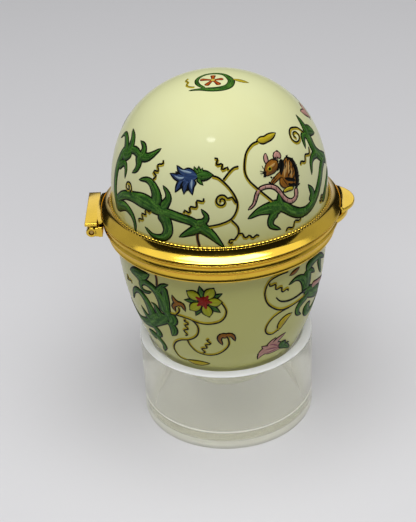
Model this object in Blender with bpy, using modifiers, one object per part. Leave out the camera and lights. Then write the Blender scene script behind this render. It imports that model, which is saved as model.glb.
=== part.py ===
"""Porcelain trinket box: an egg in two glazed shells with brass mounts, hinged at the back of
its rim and standing in a clear acrylic ring.

Lengths are metres. The egg's axis is Z and Z = 0 is the table. The hinge is at -X, the thumb
tab at +X. Pieces that touch on the real box are modelled CLEARANCE apart.
"""

import math

import bmesh
import bpy
from mathutils import Vector

# ---------------------------------------------------------------- driving dimensions
CLEARANCE = 0.0003          # kept between any two pieces
RIM_RADIUS = 0.0235         # widest edge of the brass mounts
PARTING_Z = 0.04755         # plane where lid and base meet
OUTREACH = 0.0262           # how far hinge and thumb tab stand from the axis

SHELL_WALL = 0.0016         # porcelain thickness
DOME_RADIUS = 0.0210        # lid shell where it leaves its mount
DOME_SPRING_Z = 0.0497      # height where the dome starts to curve in
DOME_RISE = 0.0243          # from there to the top
DOME_FULLNESS = 2.5         # 2 is an ellipse, more is a fuller shoulder
CUP_RADIUS = 0.0208         # base shell inside its mount
CUP_SPRING_Z = 0.0431       # height where the cup starts to curve in
CUP_DROP = 0.0369           # from there to the small end
CUP_TOP_Z = 0.0466          # rim of the cup, inside the mount

STAND_HEIGHT = 0.01845
STAND_OUTER_RADIUS = 0.0179
STAND_INNER_RADIUS = 0.0156
STAND_SEAT_CHAMFER = 0.0005
STAND_EDGE_ROUND = 0.00025

LID_MOUNT_TOP_Z = 0.0498
LID_MOUNT_EDGE = 0.0004     # height of the plain edge below the cove
BASE_MOUNT_BOTTOM_Z = 0.0431
BASE_MOUNT_LOW_RADIUS = 0.0224
MOUNT_LIP = 0.0006          # width of the bead that holds a shell
MOUNT_BEAD = 0.0003         # height of the fine beads that edge the mounts
COVE_DEPTH = 0.0003         # how far the hollows between beads are sunk
CHAMFER = 0.0002            # sloping edges on the turned brass
BASE_RIM_RADIUS = 0.0234    # the base mount's edge, just inside the lid's
BASE_UPPER_RING = 0.0018    # height of the upper of its two rings
BASE_RING_TAPER = 0.0003    # how far that ring draws in on its way down
BASE_RING_STEP = 0.0002     # step in from there to the lower ring

COLLAR_INNER_RADIUS = 0.0171
COLLAR_OUTER_RADIUS = 0.0176
COLLAR_BOTTOM_Z = 0.0440
COLLAR_TOP_Z = 0.0496

HINGE_X = -0.0250
HINGE_Z = 0.0457
HINGE_LENGTH = 0.0128
KNUCKLE_LENGTHS = (0.0028, 0.0020, 0.0020, 0.0020, 0.0028)
KNUCKLE_RADIUS = 0.00105
PIN_RADIUS = 0.0005
PIN_BORE_RADIUS = 0.0007
PIN_RECESS = 0.0002
LEAF_THICKNESS = 0.00065
LEAF_INNER_REACH = 0.0020   # of the lid's leaf, before the rim is cut out of it
STRAP_THICKNESS = 0.00075

TAB_DISC_RADIUS = 0.0058
TAB_BOTTOM_Z = 0.0468
TAB_THICKNESS = 0.0008
CATCH_REACH = 0.0250
CATCH_DISC_RADIUS = 0.0086
CATCH_BOTTOM_Z = 0.0451
CATCH_TOP_Z = 0.0465
PLATE_ROUND = 0.00015       # rounded edges of the tab, the catch and the lid's leaf

TURN_STEPS = 48             # segments round the egg's axis
ARC_STEPS = 12              # segments down a shell
SMALL_ROUND_STEPS = 24      # segments round the pin
RIM_STEPS = 3 * TURN_STEPS  # segments round a cutter that follows the rim
SHARP_ANGLE = math.radians(35)
CUTTER_MARGIN = 0.001       # how far a cutter stands past what it cuts
MARKER_SIZE = 0.004         # drawn size of the two empties

# Brass wall lines that several pieces share
LID_BOTTOM_Z = PARTING_Z + CLEARANCE / 2
BASE_TOP_Z = PARTING_Z - CLEARANCE / 2
LID_GROOVE_RADII = (0.0185, DOME_RADIUS + CLEARANCE)
LID_GROOVE_Z = 0.0483
LID_UPSTAND_RADIUS = 0.0181
LID_UPSTAND_TOP_Z = 0.0512
BASE_GROOVE_RADII = (0.0182, CUP_RADIUS + CLEARANCE)
BASE_GROOVE_Z = CUP_TOP_Z + CLEARANCE
BASE_SKIRT_RADIUS = 0.0179
BASE_SKIRT_BOTTOM_Z = 0.0441

HINGE_AXIS = Vector((HINGE_X, 0, HINGE_Z))


# ---------------------------------------------------------------- scene and materials
def clear_scene():
    for obj in list(bpy.data.objects):
        bpy.data.objects.remove(obj, do_unlink=True)


def new_collection(name):
    group = bpy.data.collections.new(name)
    bpy.context.scene.collection.children.link(group)
    return group


def new_material(name, colour, roughness, metallic=0.0, alpha=1.0):
    material = bpy.data.materials.new(name)
    material.use_nodes = True
    shader = material.node_tree.nodes["Principled BSDF"]
    shader.inputs["Base Color"].default_value = (*colour, 1.0)
    shader.inputs["Roughness"].default_value = roughness
    shader.inputs["Metallic"].default_value = metallic
    shader.inputs["Alpha"].default_value = alpha
    return material


clear_scene()
PARTS = new_collection("porcelain_trinket_box")
CUTTERS = new_collection("cutters")

IVORY_GLAZE = new_material("ivory_glaze", (0.73, 0.75, 0.42), 0.12)
GILT_BRASS = new_material("gilt_brass", (0.62, 0.43, 0.09), 0.22, metallic=1.0)
PIN_BRASS = new_material("pin_brass", (0.45, 0.30, 0.08), 0.35, metallic=1.0)
CLEAR_ACRYLIC = new_material("clear_acrylic", (0.93, 0.94, 0.92), 0.05, alpha=0.3)
PLASTER = new_material("plaster", (0.75, 0.72, 0.65), 0.9)


# ---------------------------------------------------------------- modelling helpers
def add_object(name, mesh, material, home):
    obj = bpy.data.objects.new(name, mesh)
    home.objects.link(obj)
    if material is not None:
        mesh.materials.append(material)
    return obj


def turned(name, profile, material, closed=False):
    """Turn a profile of (radius, height) points, listed down its outer side, about Z."""
    mesh = bpy.data.meshes.new(name)
    points = [(radius, 0, height) for radius, height in profile]
    edges = [(i, i + 1) for i in range(len(points) - 1)]
    if closed:
        edges.append((len(points) - 1, 0))
    mesh.from_pydata(points, edges, [])
    obj = add_object(name, mesh, material, PARTS)
    screw = obj.modifiers.new("turn", "SCREW")
    screw.axis = "Z"
    screw.angle = math.tau
    screw.steps = TURN_STEPS
    screw.render_steps = TURN_STEPS
    screw.use_merge_vertices = True
    screw.merge_threshold = 0.00001
    screw.use_smooth_shade = True
    return obj


def solid_from(name, build, material, home):
    """Make one object from a bmesh that build() fills."""
    mesh = bpy.data.meshes.new(name)
    work = bmesh.new()
    build(work)
    bmesh.ops.recalc_face_normals(work, faces=work.faces)
    work.to_mesh(mesh)
    work.free()
    return add_object(name, mesh, material, home)


def box(name, low, high, material=None, home=None):
    """A box between two corners, its origin at its centre."""
    low, high = Vector(low), Vector(high)

    def build(work):
        bmesh.ops.create_cube(work, size=1.0)
        bmesh.ops.scale(work, vec=high - low, verts=work.verts)

    obj = solid_from(name, build, material, home or CUTTERS)
    obj.location = (low + high) / 2
    return obj


def rod(name, radius, length, centre, along_y=False, steps=SMALL_ROUND_STEPS,
        material=None, home=None):
    """A cylinder about Z, or about Y where along_y is set."""
    def build(work):
        bmesh.ops.create_cone(work, cap_ends=True, segments=steps, radius1=radius,
                              radius2=radius, depth=length)

    obj = solid_from(name, build, material, home or CUTTERS)
    obj.location = centre
    if along_y:
        obj.rotation_euler = (math.pi / 2, 0, 0)
    obj.data.shade_smooth()
    obj.data.set_sharp_from_angle(angle=SHARP_ANGLE)
    return obj


def combine(obj, other, operation):
    """Union with or cut by another object, which stays as a hidden guide."""
    step = obj.modifiers.new(operation.lower(), "BOOLEAN")
    step.operation = operation
    step.solver = "EXACT"
    step.object = other
    other.hide_render = True
    other.display_type = "WIRE"


def round_edges(obj, width, segments=2):
    bevel = obj.modifiers.new("rounded edges", "BEVEL")
    bevel.width = width
    bevel.segments = segments
    bevel.limit_method = "ANGLE"
    bevel.angle_limit = SHARP_ANGLE


def hang_on(parent, pieces):
    """Parent pieces to an empty and leave them where they are."""
    for piece in pieces:
        piece.parent = parent
        piece.location = piece.location - parent.location


def new_empty(name, location):
    empty = bpy.data.objects.new(name, None)
    empty.location = location
    empty.empty_display_size = MARKER_SIZE
    PARTS.objects.link(empty)
    return empty


# ---------------------------------------------------------------- egg outlines
def quarter_egg(radius, rise, fullness):
    """Points (radius, height) from the pole down to the widest line, as a superellipse."""
    points = []
    for i in range(ARC_STEPS + 1):
        angle = 0.5 * math.pi * i / ARC_STEPS
        height = rise * math.cos(angle) ** (2 / fullness)
        points.append((radius * math.sin(angle), height))
    points[0] = (0.0, rise)
    points[-1] = (radius, 0.0)
    return points


def dome_line(wall):
    """The dome's line, wall metres inside the outer face, from the pole to the mount."""
    return [(r, DOME_SPRING_Z + z) for r, z in
            quarter_egg(DOME_RADIUS - wall, DOME_RISE - wall, DOME_FULLNESS)]


def cup_line(wall):
    """The cup's line, wall metres inside the outer face, from the mount to the small end."""
    line = quarter_egg(CUP_RADIUS - wall, CUP_DROP - wall, 2)
    return [(r, CUP_SPRING_Z - z) for r, z in reversed(line)]


# ---------------------------------------------------------------- stand
def make_stand_ring():
    outer, inner = STAND_OUTER_RADIUS, STAND_INNER_RADIUS
    soft, seat, top = STAND_EDGE_ROUND, STAND_SEAT_CHAMFER, STAND_HEIGHT
    profile = [
        (outer - soft, top), (outer, top - soft),
        (outer, soft), (outer - soft, 0),
        (inner + soft, 0), (inner, soft),
        (inner, top - seat), (inner + seat, top),
    ]
    return turned("stand_ring", profile, CLEAR_ACRYLIC, closed=True)


# ---------------------------------------------------------------- base
def make_base_cup():
    outer = [(CUP_RADIUS, CUP_TOP_Z), *cup_line(0)]
    inner = [(CUP_RADIUS - SHELL_WALL, CUP_TOP_Z), *cup_line(SHELL_WALL)]
    return turned("base_cup", [*reversed(inner), *outer], IVORY_GLAZE)


def cove(start, end, steps=4):
    """Points between two ends, sunk towards the axis by COVE_DEPTH at the middle."""
    points = []
    for i in range(1, steps):
        share = i / steps
        radius = start[0] + (end[0] - start[0]) * share
        height = start[1] + (end[1] - start[1]) * share
        points.append((radius - COVE_DEPTH * math.sin(math.pi * share), height))
    return points


def make_base_bezel():
    top, bottom = BASE_TOP_Z, BASE_MOUNT_BOTTOM_Z
    upper = (BASE_RIM_RADIUS, top - MOUNT_BEAD)
    upper_foot = (BASE_RIM_RADIUS - BASE_RING_TAPER, top - BASE_UPPER_RING)
    lower = (upper_foot[0] - BASE_RING_STEP, upper_foot[1] - MOUNT_BEAD)
    lower_foot = (BASE_MOUNT_LOW_RADIUS, bottom + MOUNT_BEAD)
    inner, outer = BASE_GROOVE_RADII
    profile = [
        (BASE_RIM_RADIUS - CHAMFER, top), upper,
        *cove(upper, upper_foot), upper_foot, lower,
        *cove(lower, lower_foot), lower_foot,
        (BASE_MOUNT_LOW_RADIUS - MOUNT_BEAD, bottom),
        (outer, bottom), (outer, BASE_GROOVE_Z),
        (inner, BASE_GROOVE_Z), (inner, BASE_SKIRT_BOTTOM_Z),
        (BASE_SKIRT_RADIUS, BASE_SKIRT_BOTTOM_Z), (BASE_SKIRT_RADIUS, top),
    ]
    bezel = turned("base_bezel", profile, GILT_BRASS, closed=True)
    strap_inner_x = HINGE_X + KNUCKLE_RADIUS + CLEARANCE + STRAP_THICKNESS
    half = HINGE_LENGTH / 2
    pocket = box("hinge_pocket_cutter",
                 (HINGE_X, -half - CLEARANCE, HINGE_Z - KNUCKLE_RADIUS - CLEARANCE),
                 (strap_inner_x + CLEARANCE, half + CLEARANCE, BASE_TOP_Z + CUTTER_MARGIN))
    combine(bezel, pocket, "DIFFERENCE")
    return bezel


def make_base_cement():
    inner = BASE_GROOVE_RADII[0] + CLEARANCE
    outer = CUP_RADIUS - SHELL_WALL - CLEARANCE
    profile = [(outer, CUP_TOP_Z), (outer, BASE_SKIRT_BOTTOM_Z + CLEARANCE),
               (inner, BASE_SKIRT_BOTTOM_Z + CLEARANCE), (inner, CUP_TOP_Z)]
    return turned("base_cement", profile, PLASTER, closed=True)


def make_locating_collar():
    profile = [
        (COLLAR_OUTER_RADIUS - CHAMFER, COLLAR_TOP_Z),
        (COLLAR_OUTER_RADIUS, COLLAR_TOP_Z - CHAMFER),
        (COLLAR_OUTER_RADIUS, COLLAR_BOTTOM_Z),
        (COLLAR_INNER_RADIUS, COLLAR_BOTTOM_Z),
        (COLLAR_INNER_RADIUS, COLLAR_TOP_Z),
    ]
    return turned("locating_collar", profile, GILT_BRASS, closed=True)


def cut_round_rim(plate, low, high):
    """Cut a plate that lies between two heights back from the round rim of the mounts."""
    cutter = rod(plate.name + "_rim_cutter", RIM_RADIUS + CLEARANCE,
                 high - low + 2 * CUTTER_MARGIN, (0, 0, (low + high) / 2), steps=RIM_STEPS)
    combine(plate, cutter, "DIFFERENCE")


def crescent(name, disc_radius, reach, low, high):
    """A plate at +X: a disc's edge, cut to follow the round rim."""
    plate = rod(name, disc_radius, high - low, (reach - disc_radius, 0, (low + high) / 2),
                steps=TURN_STEPS, material=GILT_BRASS, home=PARTS)
    round_edges(plate, PLATE_ROUND)
    cut_round_rim(plate, low, high)
    return plate


def make_base_catch():
    return crescent("base_catch", CATCH_DISC_RADIUS, CATCH_REACH, CATCH_BOTTOM_Z,
                    CATCH_TOP_Z)


# ---------------------------------------------------------------- hinge
def knuckle_spans():
    """(low y, high y) of the knuckles: ends and middle on the base, two on the lid."""
    spans, start = [], -HINGE_LENGTH / 2
    for length in KNUCKLE_LENGTHS:
        spans.append((start, start + length))
        start += length + CLEARANCE
    return spans


def add_knuckle(leaf, label, span, low, high):
    """Join a knuckle to a leaf: a barrel round the pin and the block that carries it."""
    middle = (span[0] + span[1]) / 2
    barrel = rod(f"{label}_barrel", KNUCKLE_RADIUS, span[1] - span[0],
                 (HINGE_X, middle, HINGE_Z), along_y=True)
    block = box(f"{label}_block", (low[0], span[0], low[1]), (high[0], span[1], high[1]))
    combine(leaf, barrel, "UNION")
    combine(leaf, block, "UNION")


def drill_for_pin(leaf, label):
    bore = rod(f"{label}_bore", PIN_BORE_RADIUS, HINGE_LENGTH + 2 * CUTTER_MARGIN,
               HINGE_AXIS, along_y=True)
    combine(leaf, bore, "DIFFERENCE")


def make_hinge_base_leaf():
    half = HINGE_LENGTH / 2
    low_z, high_z = HINGE_Z - KNUCKLE_RADIUS, HINGE_Z + KNUCKLE_RADIUS
    strap_x = HINGE_X + KNUCKLE_RADIUS + CLEARANCE
    leaf = box("hinge_base_leaf", (strap_x, -half, low_z),
               (strap_x + STRAP_THICKNESS, half, high_z), GILT_BRASS, PARTS)
    for number, span in enumerate(knuckle_spans()[0::2]):
        add_knuckle(leaf, f"base_knuckle_{number}", span, (HINGE_X, low_z),
                    (strap_x + STRAP_THICKNESS / 2, high_z))
    drill_for_pin(leaf, "base_leaf")
    return leaf


def make_hinge_lid_leaf():
    half = HINGE_LENGTH / 2
    low_z = HINGE_Z + KNUCKLE_RADIUS + CLEARANCE
    high_z = low_z + LEAF_THICKNESS
    leaf = box("hinge_lid_leaf", (-OUTREACH, -half, low_z),
               (LEAF_INNER_REACH - RIM_RADIUS, half, high_z), GILT_BRASS, PARTS)
    round_edges(leaf, PLATE_ROUND)
    cut_round_rim(leaf, low_z, high_z)
    for number, span in enumerate(knuckle_spans()[1::2]):
        add_knuckle(leaf, f"lid_knuckle_{number}", span,
                    (HINGE_X - KNUCKLE_RADIUS, HINGE_Z),
                    (HINGE_X + KNUCKLE_RADIUS, low_z + LEAF_THICKNESS / 2))
    drill_for_pin(leaf, "lid_leaf")
    return leaf


def make_hinge_pin():
    return rod("hinge_pin", PIN_RADIUS, HINGE_LENGTH - 2 * PIN_RECESS, HINGE_AXIS,
               along_y=True, material=PIN_BRASS, home=PARTS)


# ---------------------------------------------------------------- lid
def make_lid_dome():
    low = LID_GROOVE_Z + CLEARANCE
    outer = [*dome_line(0), (DOME_RADIUS, low)]
    inner = [*dome_line(SHELL_WALL), (DOME_RADIUS - SHELL_WALL, low)]
    return turned("lid_dome", [*outer, *reversed(inner)], IVORY_GLAZE)


def make_lid_bezel():
    inner, outer = LID_GROOVE_RADII
    lip_outer = outer + MOUNT_LIP
    top, bottom = LID_MOUNT_TOP_Z, LID_BOTTOM_Z
    edge = (RIM_RADIUS, bottom + LID_MOUNT_EDGE)
    neck = (lip_outer, top - MOUNT_BEAD)
    profile = [
        (lip_outer - CHAMFER, top), neck,
        *cove(neck, edge), edge, (RIM_RADIUS, bottom),
        (LID_UPSTAND_RADIUS, bottom), (LID_UPSTAND_RADIUS, LID_UPSTAND_TOP_Z),
        (inner, LID_UPSTAND_TOP_Z), (inner, LID_GROOVE_Z),
        (outer, LID_GROOVE_Z), (outer, top),
    ]
    return turned("lid_bezel", profile, GILT_BRASS, closed=True)


def make_lid_cement():
    inner = LID_GROOVE_RADII[0] + CLEARANCE
    outer = DOME_RADIUS - SHELL_WALL - CLEARANCE
    top, bottom = LID_UPSTAND_TOP_Z - CLEARANCE, LID_GROOVE_Z + CLEARANCE
    profile = [(outer, top), (outer, bottom), (inner, bottom), (inner, top)]
    return turned("lid_cement", profile, PLASTER, closed=True)


def make_thumb_tab():
    return crescent("thumb_tab", TAB_DISC_RADIUS, OUTREACH, TAB_BOTTOM_Z,
                    TAB_BOTTOM_Z + TAB_THICKNESS)


# ---------------------------------------------------------------- assembly
def build_box():
    make_stand_ring()
    base = [make_base_cup(), make_base_bezel(), make_base_cement(), make_locating_collar(),
            make_base_catch(), make_hinge_base_leaf(), make_hinge_pin()]
    lid = [make_lid_dome(), make_lid_bezel(), make_lid_cement(), make_hinge_lid_leaf(),
           make_thumb_tab()]
    hang_on(new_empty("box_seat", (0, 0, STAND_HEIGHT)), base)
    hang_on(new_empty("lid_hinge_axis", HINGE_AXIS), lid)


build_box()
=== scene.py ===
# %% [markdown]
# # A gilt-mounted porcelain egg box
#
# The box is an egg in two glazed shells. Each shell is cemented into a polished brass mount,
# the mounts are hinged together, and the egg stands in a clear acrylic ring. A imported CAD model
# already holds the solids and the joint. This lesson gives each piece its real surface, then
# paints the egg, lights it and sets the camera.
#
# The first step loads that model. Its pieces stay where they are, and everything made here
# rides on one of its three bodies: stand, base and lid.

# %% Load the model
import math

import bmesh
import bpy
import numpy as np
from mathutils import Matrix, Vector


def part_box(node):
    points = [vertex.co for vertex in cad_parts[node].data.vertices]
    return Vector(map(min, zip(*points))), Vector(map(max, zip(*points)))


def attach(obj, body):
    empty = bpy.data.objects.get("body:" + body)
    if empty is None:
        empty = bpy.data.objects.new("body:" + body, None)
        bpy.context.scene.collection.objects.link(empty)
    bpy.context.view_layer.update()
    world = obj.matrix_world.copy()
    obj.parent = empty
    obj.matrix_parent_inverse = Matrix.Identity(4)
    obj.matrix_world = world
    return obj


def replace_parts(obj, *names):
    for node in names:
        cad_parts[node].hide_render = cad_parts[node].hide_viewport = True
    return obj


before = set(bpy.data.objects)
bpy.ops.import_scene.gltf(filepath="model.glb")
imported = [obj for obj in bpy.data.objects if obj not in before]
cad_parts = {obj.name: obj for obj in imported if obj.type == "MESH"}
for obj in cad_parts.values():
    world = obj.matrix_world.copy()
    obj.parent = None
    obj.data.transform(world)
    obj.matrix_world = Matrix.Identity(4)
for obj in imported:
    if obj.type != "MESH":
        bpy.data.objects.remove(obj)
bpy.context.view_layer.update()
MM = 0.001

# %% [markdown]
# ## Camera
#
# The box is seen from a little above, from about a forearm's length away, with a longish lens.
# The camera could be aimed with a Track To constraint, but three plain turns say more: tip it
# up from straight down, turn it about the vertical, then roll it about its own line of sight.

# %% Camera
CAMERA_PLACE = Vector((0, -203.4, 159.4)) * MM
CAMERA_DIP, CAMERA_TURN, CAMERA_ROLL = 31.6, -0.85, -2.97
LENS_MM = 81.7


def turn(degrees, axis):
    return Matrix.Rotation(math.radians(degrees), 4, axis)


camera_data = bpy.data.cameras.new("camera")
camera_data.lens = LENS_MM
camera_data.clip_start, camera_data.clip_end = 0.01, 20
camera = bpy.data.objects.new("camera", camera_data)
bpy.context.scene.collection.objects.link(camera)
camera.matrix_world = (
    Matrix.Translation(CAMERA_PLACE)
    @ turn(-CAMERA_TURN, "Z")
    @ turn(90 - CAMERA_DIP, "X")
    @ turn(CAMERA_ROLL, "Z")
)
bpy.context.scene.camera = camera
print("camera to rim:", round((CAMERA_PLACE - Vector((0, 0, 0.048))).length / MM), "mm")

# %% [markdown]
# ## Shader maths as Python
#
# A node material is a small calculation. Wiring each Math node by hand hides the formula, so
# one class wraps a socket and lets Python's own operators add the nodes. `Finish` is the one
# door to every other node type.

# %% Sockets with operators
class Wire:
    """A shader socket that takes part in Python expressions."""

    def __init__(self, finish, socket):
        self.finish, self.socket = finish, socket

    def __add__(self, other):
        return self.finish.maths("ADD", self, other)

    def __sub__(self, other):
        return self.finish.maths("SUBTRACT", self, other)

    def __rsub__(self, other):
        return self.finish.maths("SUBTRACT", other, self)

    def __mul__(self, other):
        return self.finish.maths("MULTIPLY", self, other)

    __radd__, __rmul__ = __add__, __mul__

    def smooth(self, low, high):
        """0 below low, 1 above high, and a soft step between them."""
        settings = {"interpolation_type": "SMOOTHSTEP"}
        return self.finish.node("ShaderNodeMapRange", settings, {0: self, 1: low, 2: high})


class Finish:
    """A new material with a Principled shader, and one method that adds any node to it."""

    def __init__(self, name, colour, **constants):
        self.material = bpy.data.materials.new(name)
        self.material.use_nodes = True
        self.tree = self.material.node_tree
        self.shader = self.tree.nodes["Principled BSDF"]
        self.put(self.shader, {"Base Color": colour})
        for socket, value in constants.items():
            self.put(self.shader, {socket.replace("_", " "): value})

    def put(self, node, values):
        for key, value in values.items():
            if isinstance(value, Wire):
                self.tree.links.new(value.socket, node.inputs[key])
            elif isinstance(value, tuple) and len(value) == 3 and len(node.inputs[key].default_value) == 4:
                node.inputs[key].default_value = (*value, 1)
            else:
                node.inputs[key].default_value = value

    def node(self, kind, settings=None, values=None, output=0):
        made = self.tree.nodes.new(kind)
        for key, value in (settings or {}).items():
            setattr(made, key, value)
        self.put(made, values or {})
        return Wire(self, made.outputs[output])

    def maths(self, operation, *values):
        return self.node("ShaderNodeMath", {"operation": operation}, dict(enumerate(values)))

    def place(self):
        """The point on the object, in metres, with the object's axis as Z."""
        return self.node("ShaderNodeTexCoord", output="Object")

    def along(self, axis):
        """One coordinate of that point: X, Y or Z."""
        return self.node("ShaderNodeSeparateXYZ", {}, {0: self.place()}, output=axis)

    def noise(self, size, detail=3.0, stretch=(1, 1, 1)):
        """Cloudy noise from 0 to 1 whose blotches are about size metres across."""
        mapped = self.node("ShaderNodeMapping", {}, {"Vector": self.place(), "Scale": stretch})
        values = {"Vector": mapped, "Scale": 1 / size, "Detail": detail}
        return self.node("ShaderNodeTexNoise", {}, values)

    def mix(self, share, first, second):
        """A colour that is a share of the way from first to second."""
        values = {0: share, 6: first, 7: second}
        return self.node("ShaderNodeMix", {"data_type": "RGBA"}, values, output=2)

    def feed(self, socket, wire):
        self.put(self.shader, {socket: wire})

    def bump(self, height, strength, distance):
        values = {"Height": height, "Strength": strength, "Distance": distance}
        self.feed("Normal", self.node("ShaderNodeBump", {}, values))


trial = Finish("trial", (0.5, 0.5, 0.5))
new_nodes = len(trial.tree.nodes)
blotches = trial.noise(0.01) * 0.5 + 0.2
print("noise * 0.5 + 0.2 added", len(trial.tree.nodes) - new_nodes, "nodes")
bpy.data.materials.remove(trial.material)

# %% [markdown]
# ## Glaze, gilt, acrylic and plaster
#
# Glazed porcelain is a coloured body under clear glass: a Principled shader with a strong coat.
# The ivory is never quite even, so two sizes of noise shift its tint a little. Low on the dome and over the
# whole cup the colour turns darker and yellower: painted shade under the mount.

# %% Glaze
IVORY = (0.76, 0.78, 0.44)
IVORY_WARM = (0.73, 0.72, 0.36)
# painted shade: the darker, yellower ivory laid on below the mount
IVORY_PAINTED_SHADE = (0.52, 0.52, 0.155)


def glaze_finish():
    glaze = Finish("ivory_glaze", IVORY, Roughness=0.5, Specular_IOR_Level=0.1, Coat_Weight=0.7,
                   Coat_Roughness=0.08)
    cloud = glaze.noise(0.014).smooth(0.35, 0.75)
    grain = glaze.noise(0.0011, detail=5)
    even = glaze.mix(cloud * 0.35 + grain * 0.1, IVORY, IVORY_WARM)
    # painted shade: from the lower dome down over the cup the glaze is mixed towards the darker ivory
    painted_shade_low = 1 - glaze.along("Z").smooth(46 * MM, 62 * MM)
    glaze.feed("Base Color", glaze.mix(painted_shade_low, even, IVORY_PAINTED_SHADE))
    glaze.bump(glaze.noise(0.004), 0.05, 0.0002)
    return glaze.material


GLAZE = glaze_finish()
print("glaze nodes:", len(GLAZE.node_tree.nodes))

# %% [markdown]
# ### Gilt brass
#
# Gilt brass is a metal whose polish follows the lathe, so its roughness varies in fine rings
# round the axis. The row of tiny beads on the lid mount could be modelled one by one, but at a
# twentieth of a millimetre high they only ever show as sparkle, so a sine wave in the bump
# raises them round the rim. The base mount is a little duller than the lid's.

# %% Gilt
def gilt_finish(name, colour, dull, beads=0, bead_foot=0.0):
    """Turned brass. Beads, if any, are counted round the rim, above bead_foot."""
    gilt = Finish(name, colour, Metallic=1.0, Roughness=dull)
    rings = gilt.noise(0.0009, detail=4, stretch=(0.1, 0.1, 3))
    wear = gilt.noise(0.006).smooth(0.4, 0.8)
    gilt.feed("Roughness", dull + rings * 0.05 + wear * 0.06)
    deeper = tuple(channel * 0.72 for channel in colour)
    gilt.feed("Base Color", gilt.mix(wear * 0.6, colour, deeper))
    relief = rings * 0.1
    if beads:
        round_rim = gilt.maths("ARCTAN2", gilt.along("Y"), gilt.along("X"))
        wave = gilt.maths("SINE", round_rim * beads)
        relief = relief + wave * gilt.along("Z").smooth(bead_foot, bead_foot + 0.1 * MM)
    gilt.bump(relief, 0.8, 0.05 * MM)
    return gilt.material


GILT_GOLD = (0.82, 0.55, 0.065)
GILT = gilt_finish("gilt_brass", GILT_GOLD, 0.08)
BEADED_GILT = gilt_finish("beaded_gilt", GILT_GOLD, 0.08, beads=170, bead_foot=49.65 * MM)
SATIN_GILT = gilt_finish("satin_gilt", (0.80, 0.52, 0.055), 0.22)
PIN_METAL = gilt_finish("pin_brass", (0.50, 0.33, 0.10), 0.3)
print("gilt:", [finish.name for finish in (GILT, BEADED_GILT, SATIN_GILT, PIN_METAL)])

# %% [markdown]
# ### Acrylic and plaster
#
# Acrylic is a clear dielectric with a faint milky veil, denser at the foot. A fine milky line just above the
# foot is a painted highlight, standing in for the bright inner bottom edge, and below that line the acrylic
# is tinted yellower. Plain glass would cast a dark shadow, so shadow rays pass through a Transparent shader
# instead. The sawn rim is the same acrylic, left dull. The plaster that holds the shells is simply matt.

# %% Acrylic and plaster
STAND_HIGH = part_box("stand_ring")[1]
STAND_MIDDLE = STAND_HIGH.x - 1.5 * MM


def acrylic_finish(name, clear_share, dull, tint):
    """Clear acrylic with a slight milky veil. Lamps shine through it, so its shadow is pale."""
    acrylic = Finish(name, (0.95, 0.95, 0.89), IOR=1.49, Transmission_Weight=clear_share)
    acrylic.feed("Roughness", dull + acrylic.noise(0.003).smooth(0.5, 0.9) * 0.05)
    passing = acrylic.node("ShaderNodeLightPath", output="Is Shadow Ray")
    veil = acrylic.node("ShaderNodeBsdfTransparent", {}, {"Color": (0.72, 0.72, 0.70)})
    milk = acrylic.node("ShaderNodeBsdfDiffuse", {}, {"Color": (0.88, 0.88, 0.80)})
    height = acrylic.along("Z")
    across = acrylic.node("ShaderNodeMapping", {}, {"Vector": acrylic.place(), "Scale": (1, 1, 0)})
    radius = acrylic.node("ShaderNodeVectorMath", {"operation": "LENGTH"}, {0: across}, output="Value")
    outside = radius.smooth(STAND_MIDDLE - 0.2 * MM, STAND_MIDDLE + 0.2 * MM)
    foot = (1 - height.smooth(1.8 * MM, 2.6 * MM)) * outside
    # painted highlight: a milky line on the outer half of the wall, just above the foot, for the inner bottom
    # edge's highlight
    edge = height.smooth(4.1 * MM, 4.3 * MM) * (1 - height.smooth(4.5 * MM, 4.8 * MM)) * outside
    band = height.smooth(4.2 * MM, 4.4 * MM)
    acrylic.feed("Base Color", acrylic.mix(band, (0.86, 0.85, 0.70), tint))
    clear = Wire(acrylic, acrylic.shader.outputs["BSDF"])
    body = acrylic.node("ShaderNodeMixShader", {}, {0: 0.03 + foot * 0.5 + edge * 0.8, 1: clear, 2: milk})
    both = acrylic.node("ShaderNodeMixShader", {}, {0: passing, 1: body, 2: veil})
    output = acrylic.tree.nodes["Material Output"]
    acrylic.tree.links.new(both.socket, output.inputs["Surface"])
    return acrylic.material


def plaster_finish():
    plaster = Finish("plaster", (0.75, 0.72, 0.65), Roughness=0.9)
    plaster.bump(plaster.noise(0.0006, detail=6), 0.4, 0.0001)
    return plaster.material


ACRYLIC = acrylic_finish("clear_acrylic", 0.78, 0.01, (0.93, 0.925, 0.83))
SAWN_ACRYLIC = acrylic_finish("sawn_acrylic", 0.25, 0.30, (0.71, 0.72, 0.74))
PLASTER = plaster_finish()
print("finishes:", [finish.name for finish in (ACRYLIC, SAWN_ACRYLIC, PLASTER)])

# %% [markdown]
# ## Turning the shells and mounts
#
# Everything round here was thrown or turned, so each piece is a profile spun about the egg's
# axis. The egg itself follows a superellipse: an ellipse with a little more shoulder. The
# profile is kept as a function, because the painting later has to find points on it too.

# %% Profiles
LID_MOUNT_TOP = 50.1 * MM
DOME_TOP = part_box("lid_dome")[1].z
CUP_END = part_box("base_cup")[0].z
RIM_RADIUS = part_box("lid_bezel")[1].x
DOME_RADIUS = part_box("lid_dome")[1].x
CUP_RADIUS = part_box("base_cup")[1].x
DOME_SPRING = 49.7 * MM
CUP_SPRING = 43.1 * MM
SHELL_WALL = 1.6 * MM


def quarter_egg(radius, rise, fullness, points=48):
    """(radius, height) from the widest line, at height 0, up to the pole."""
    angles = [0.5 * math.pi * i / points for i in range(points + 1)]
    line = [(radius * math.cos(a), rise * math.sin(a) ** (2 / fullness)) for a in angles]
    line[-1] = (0.0, rise)
    return line


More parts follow.
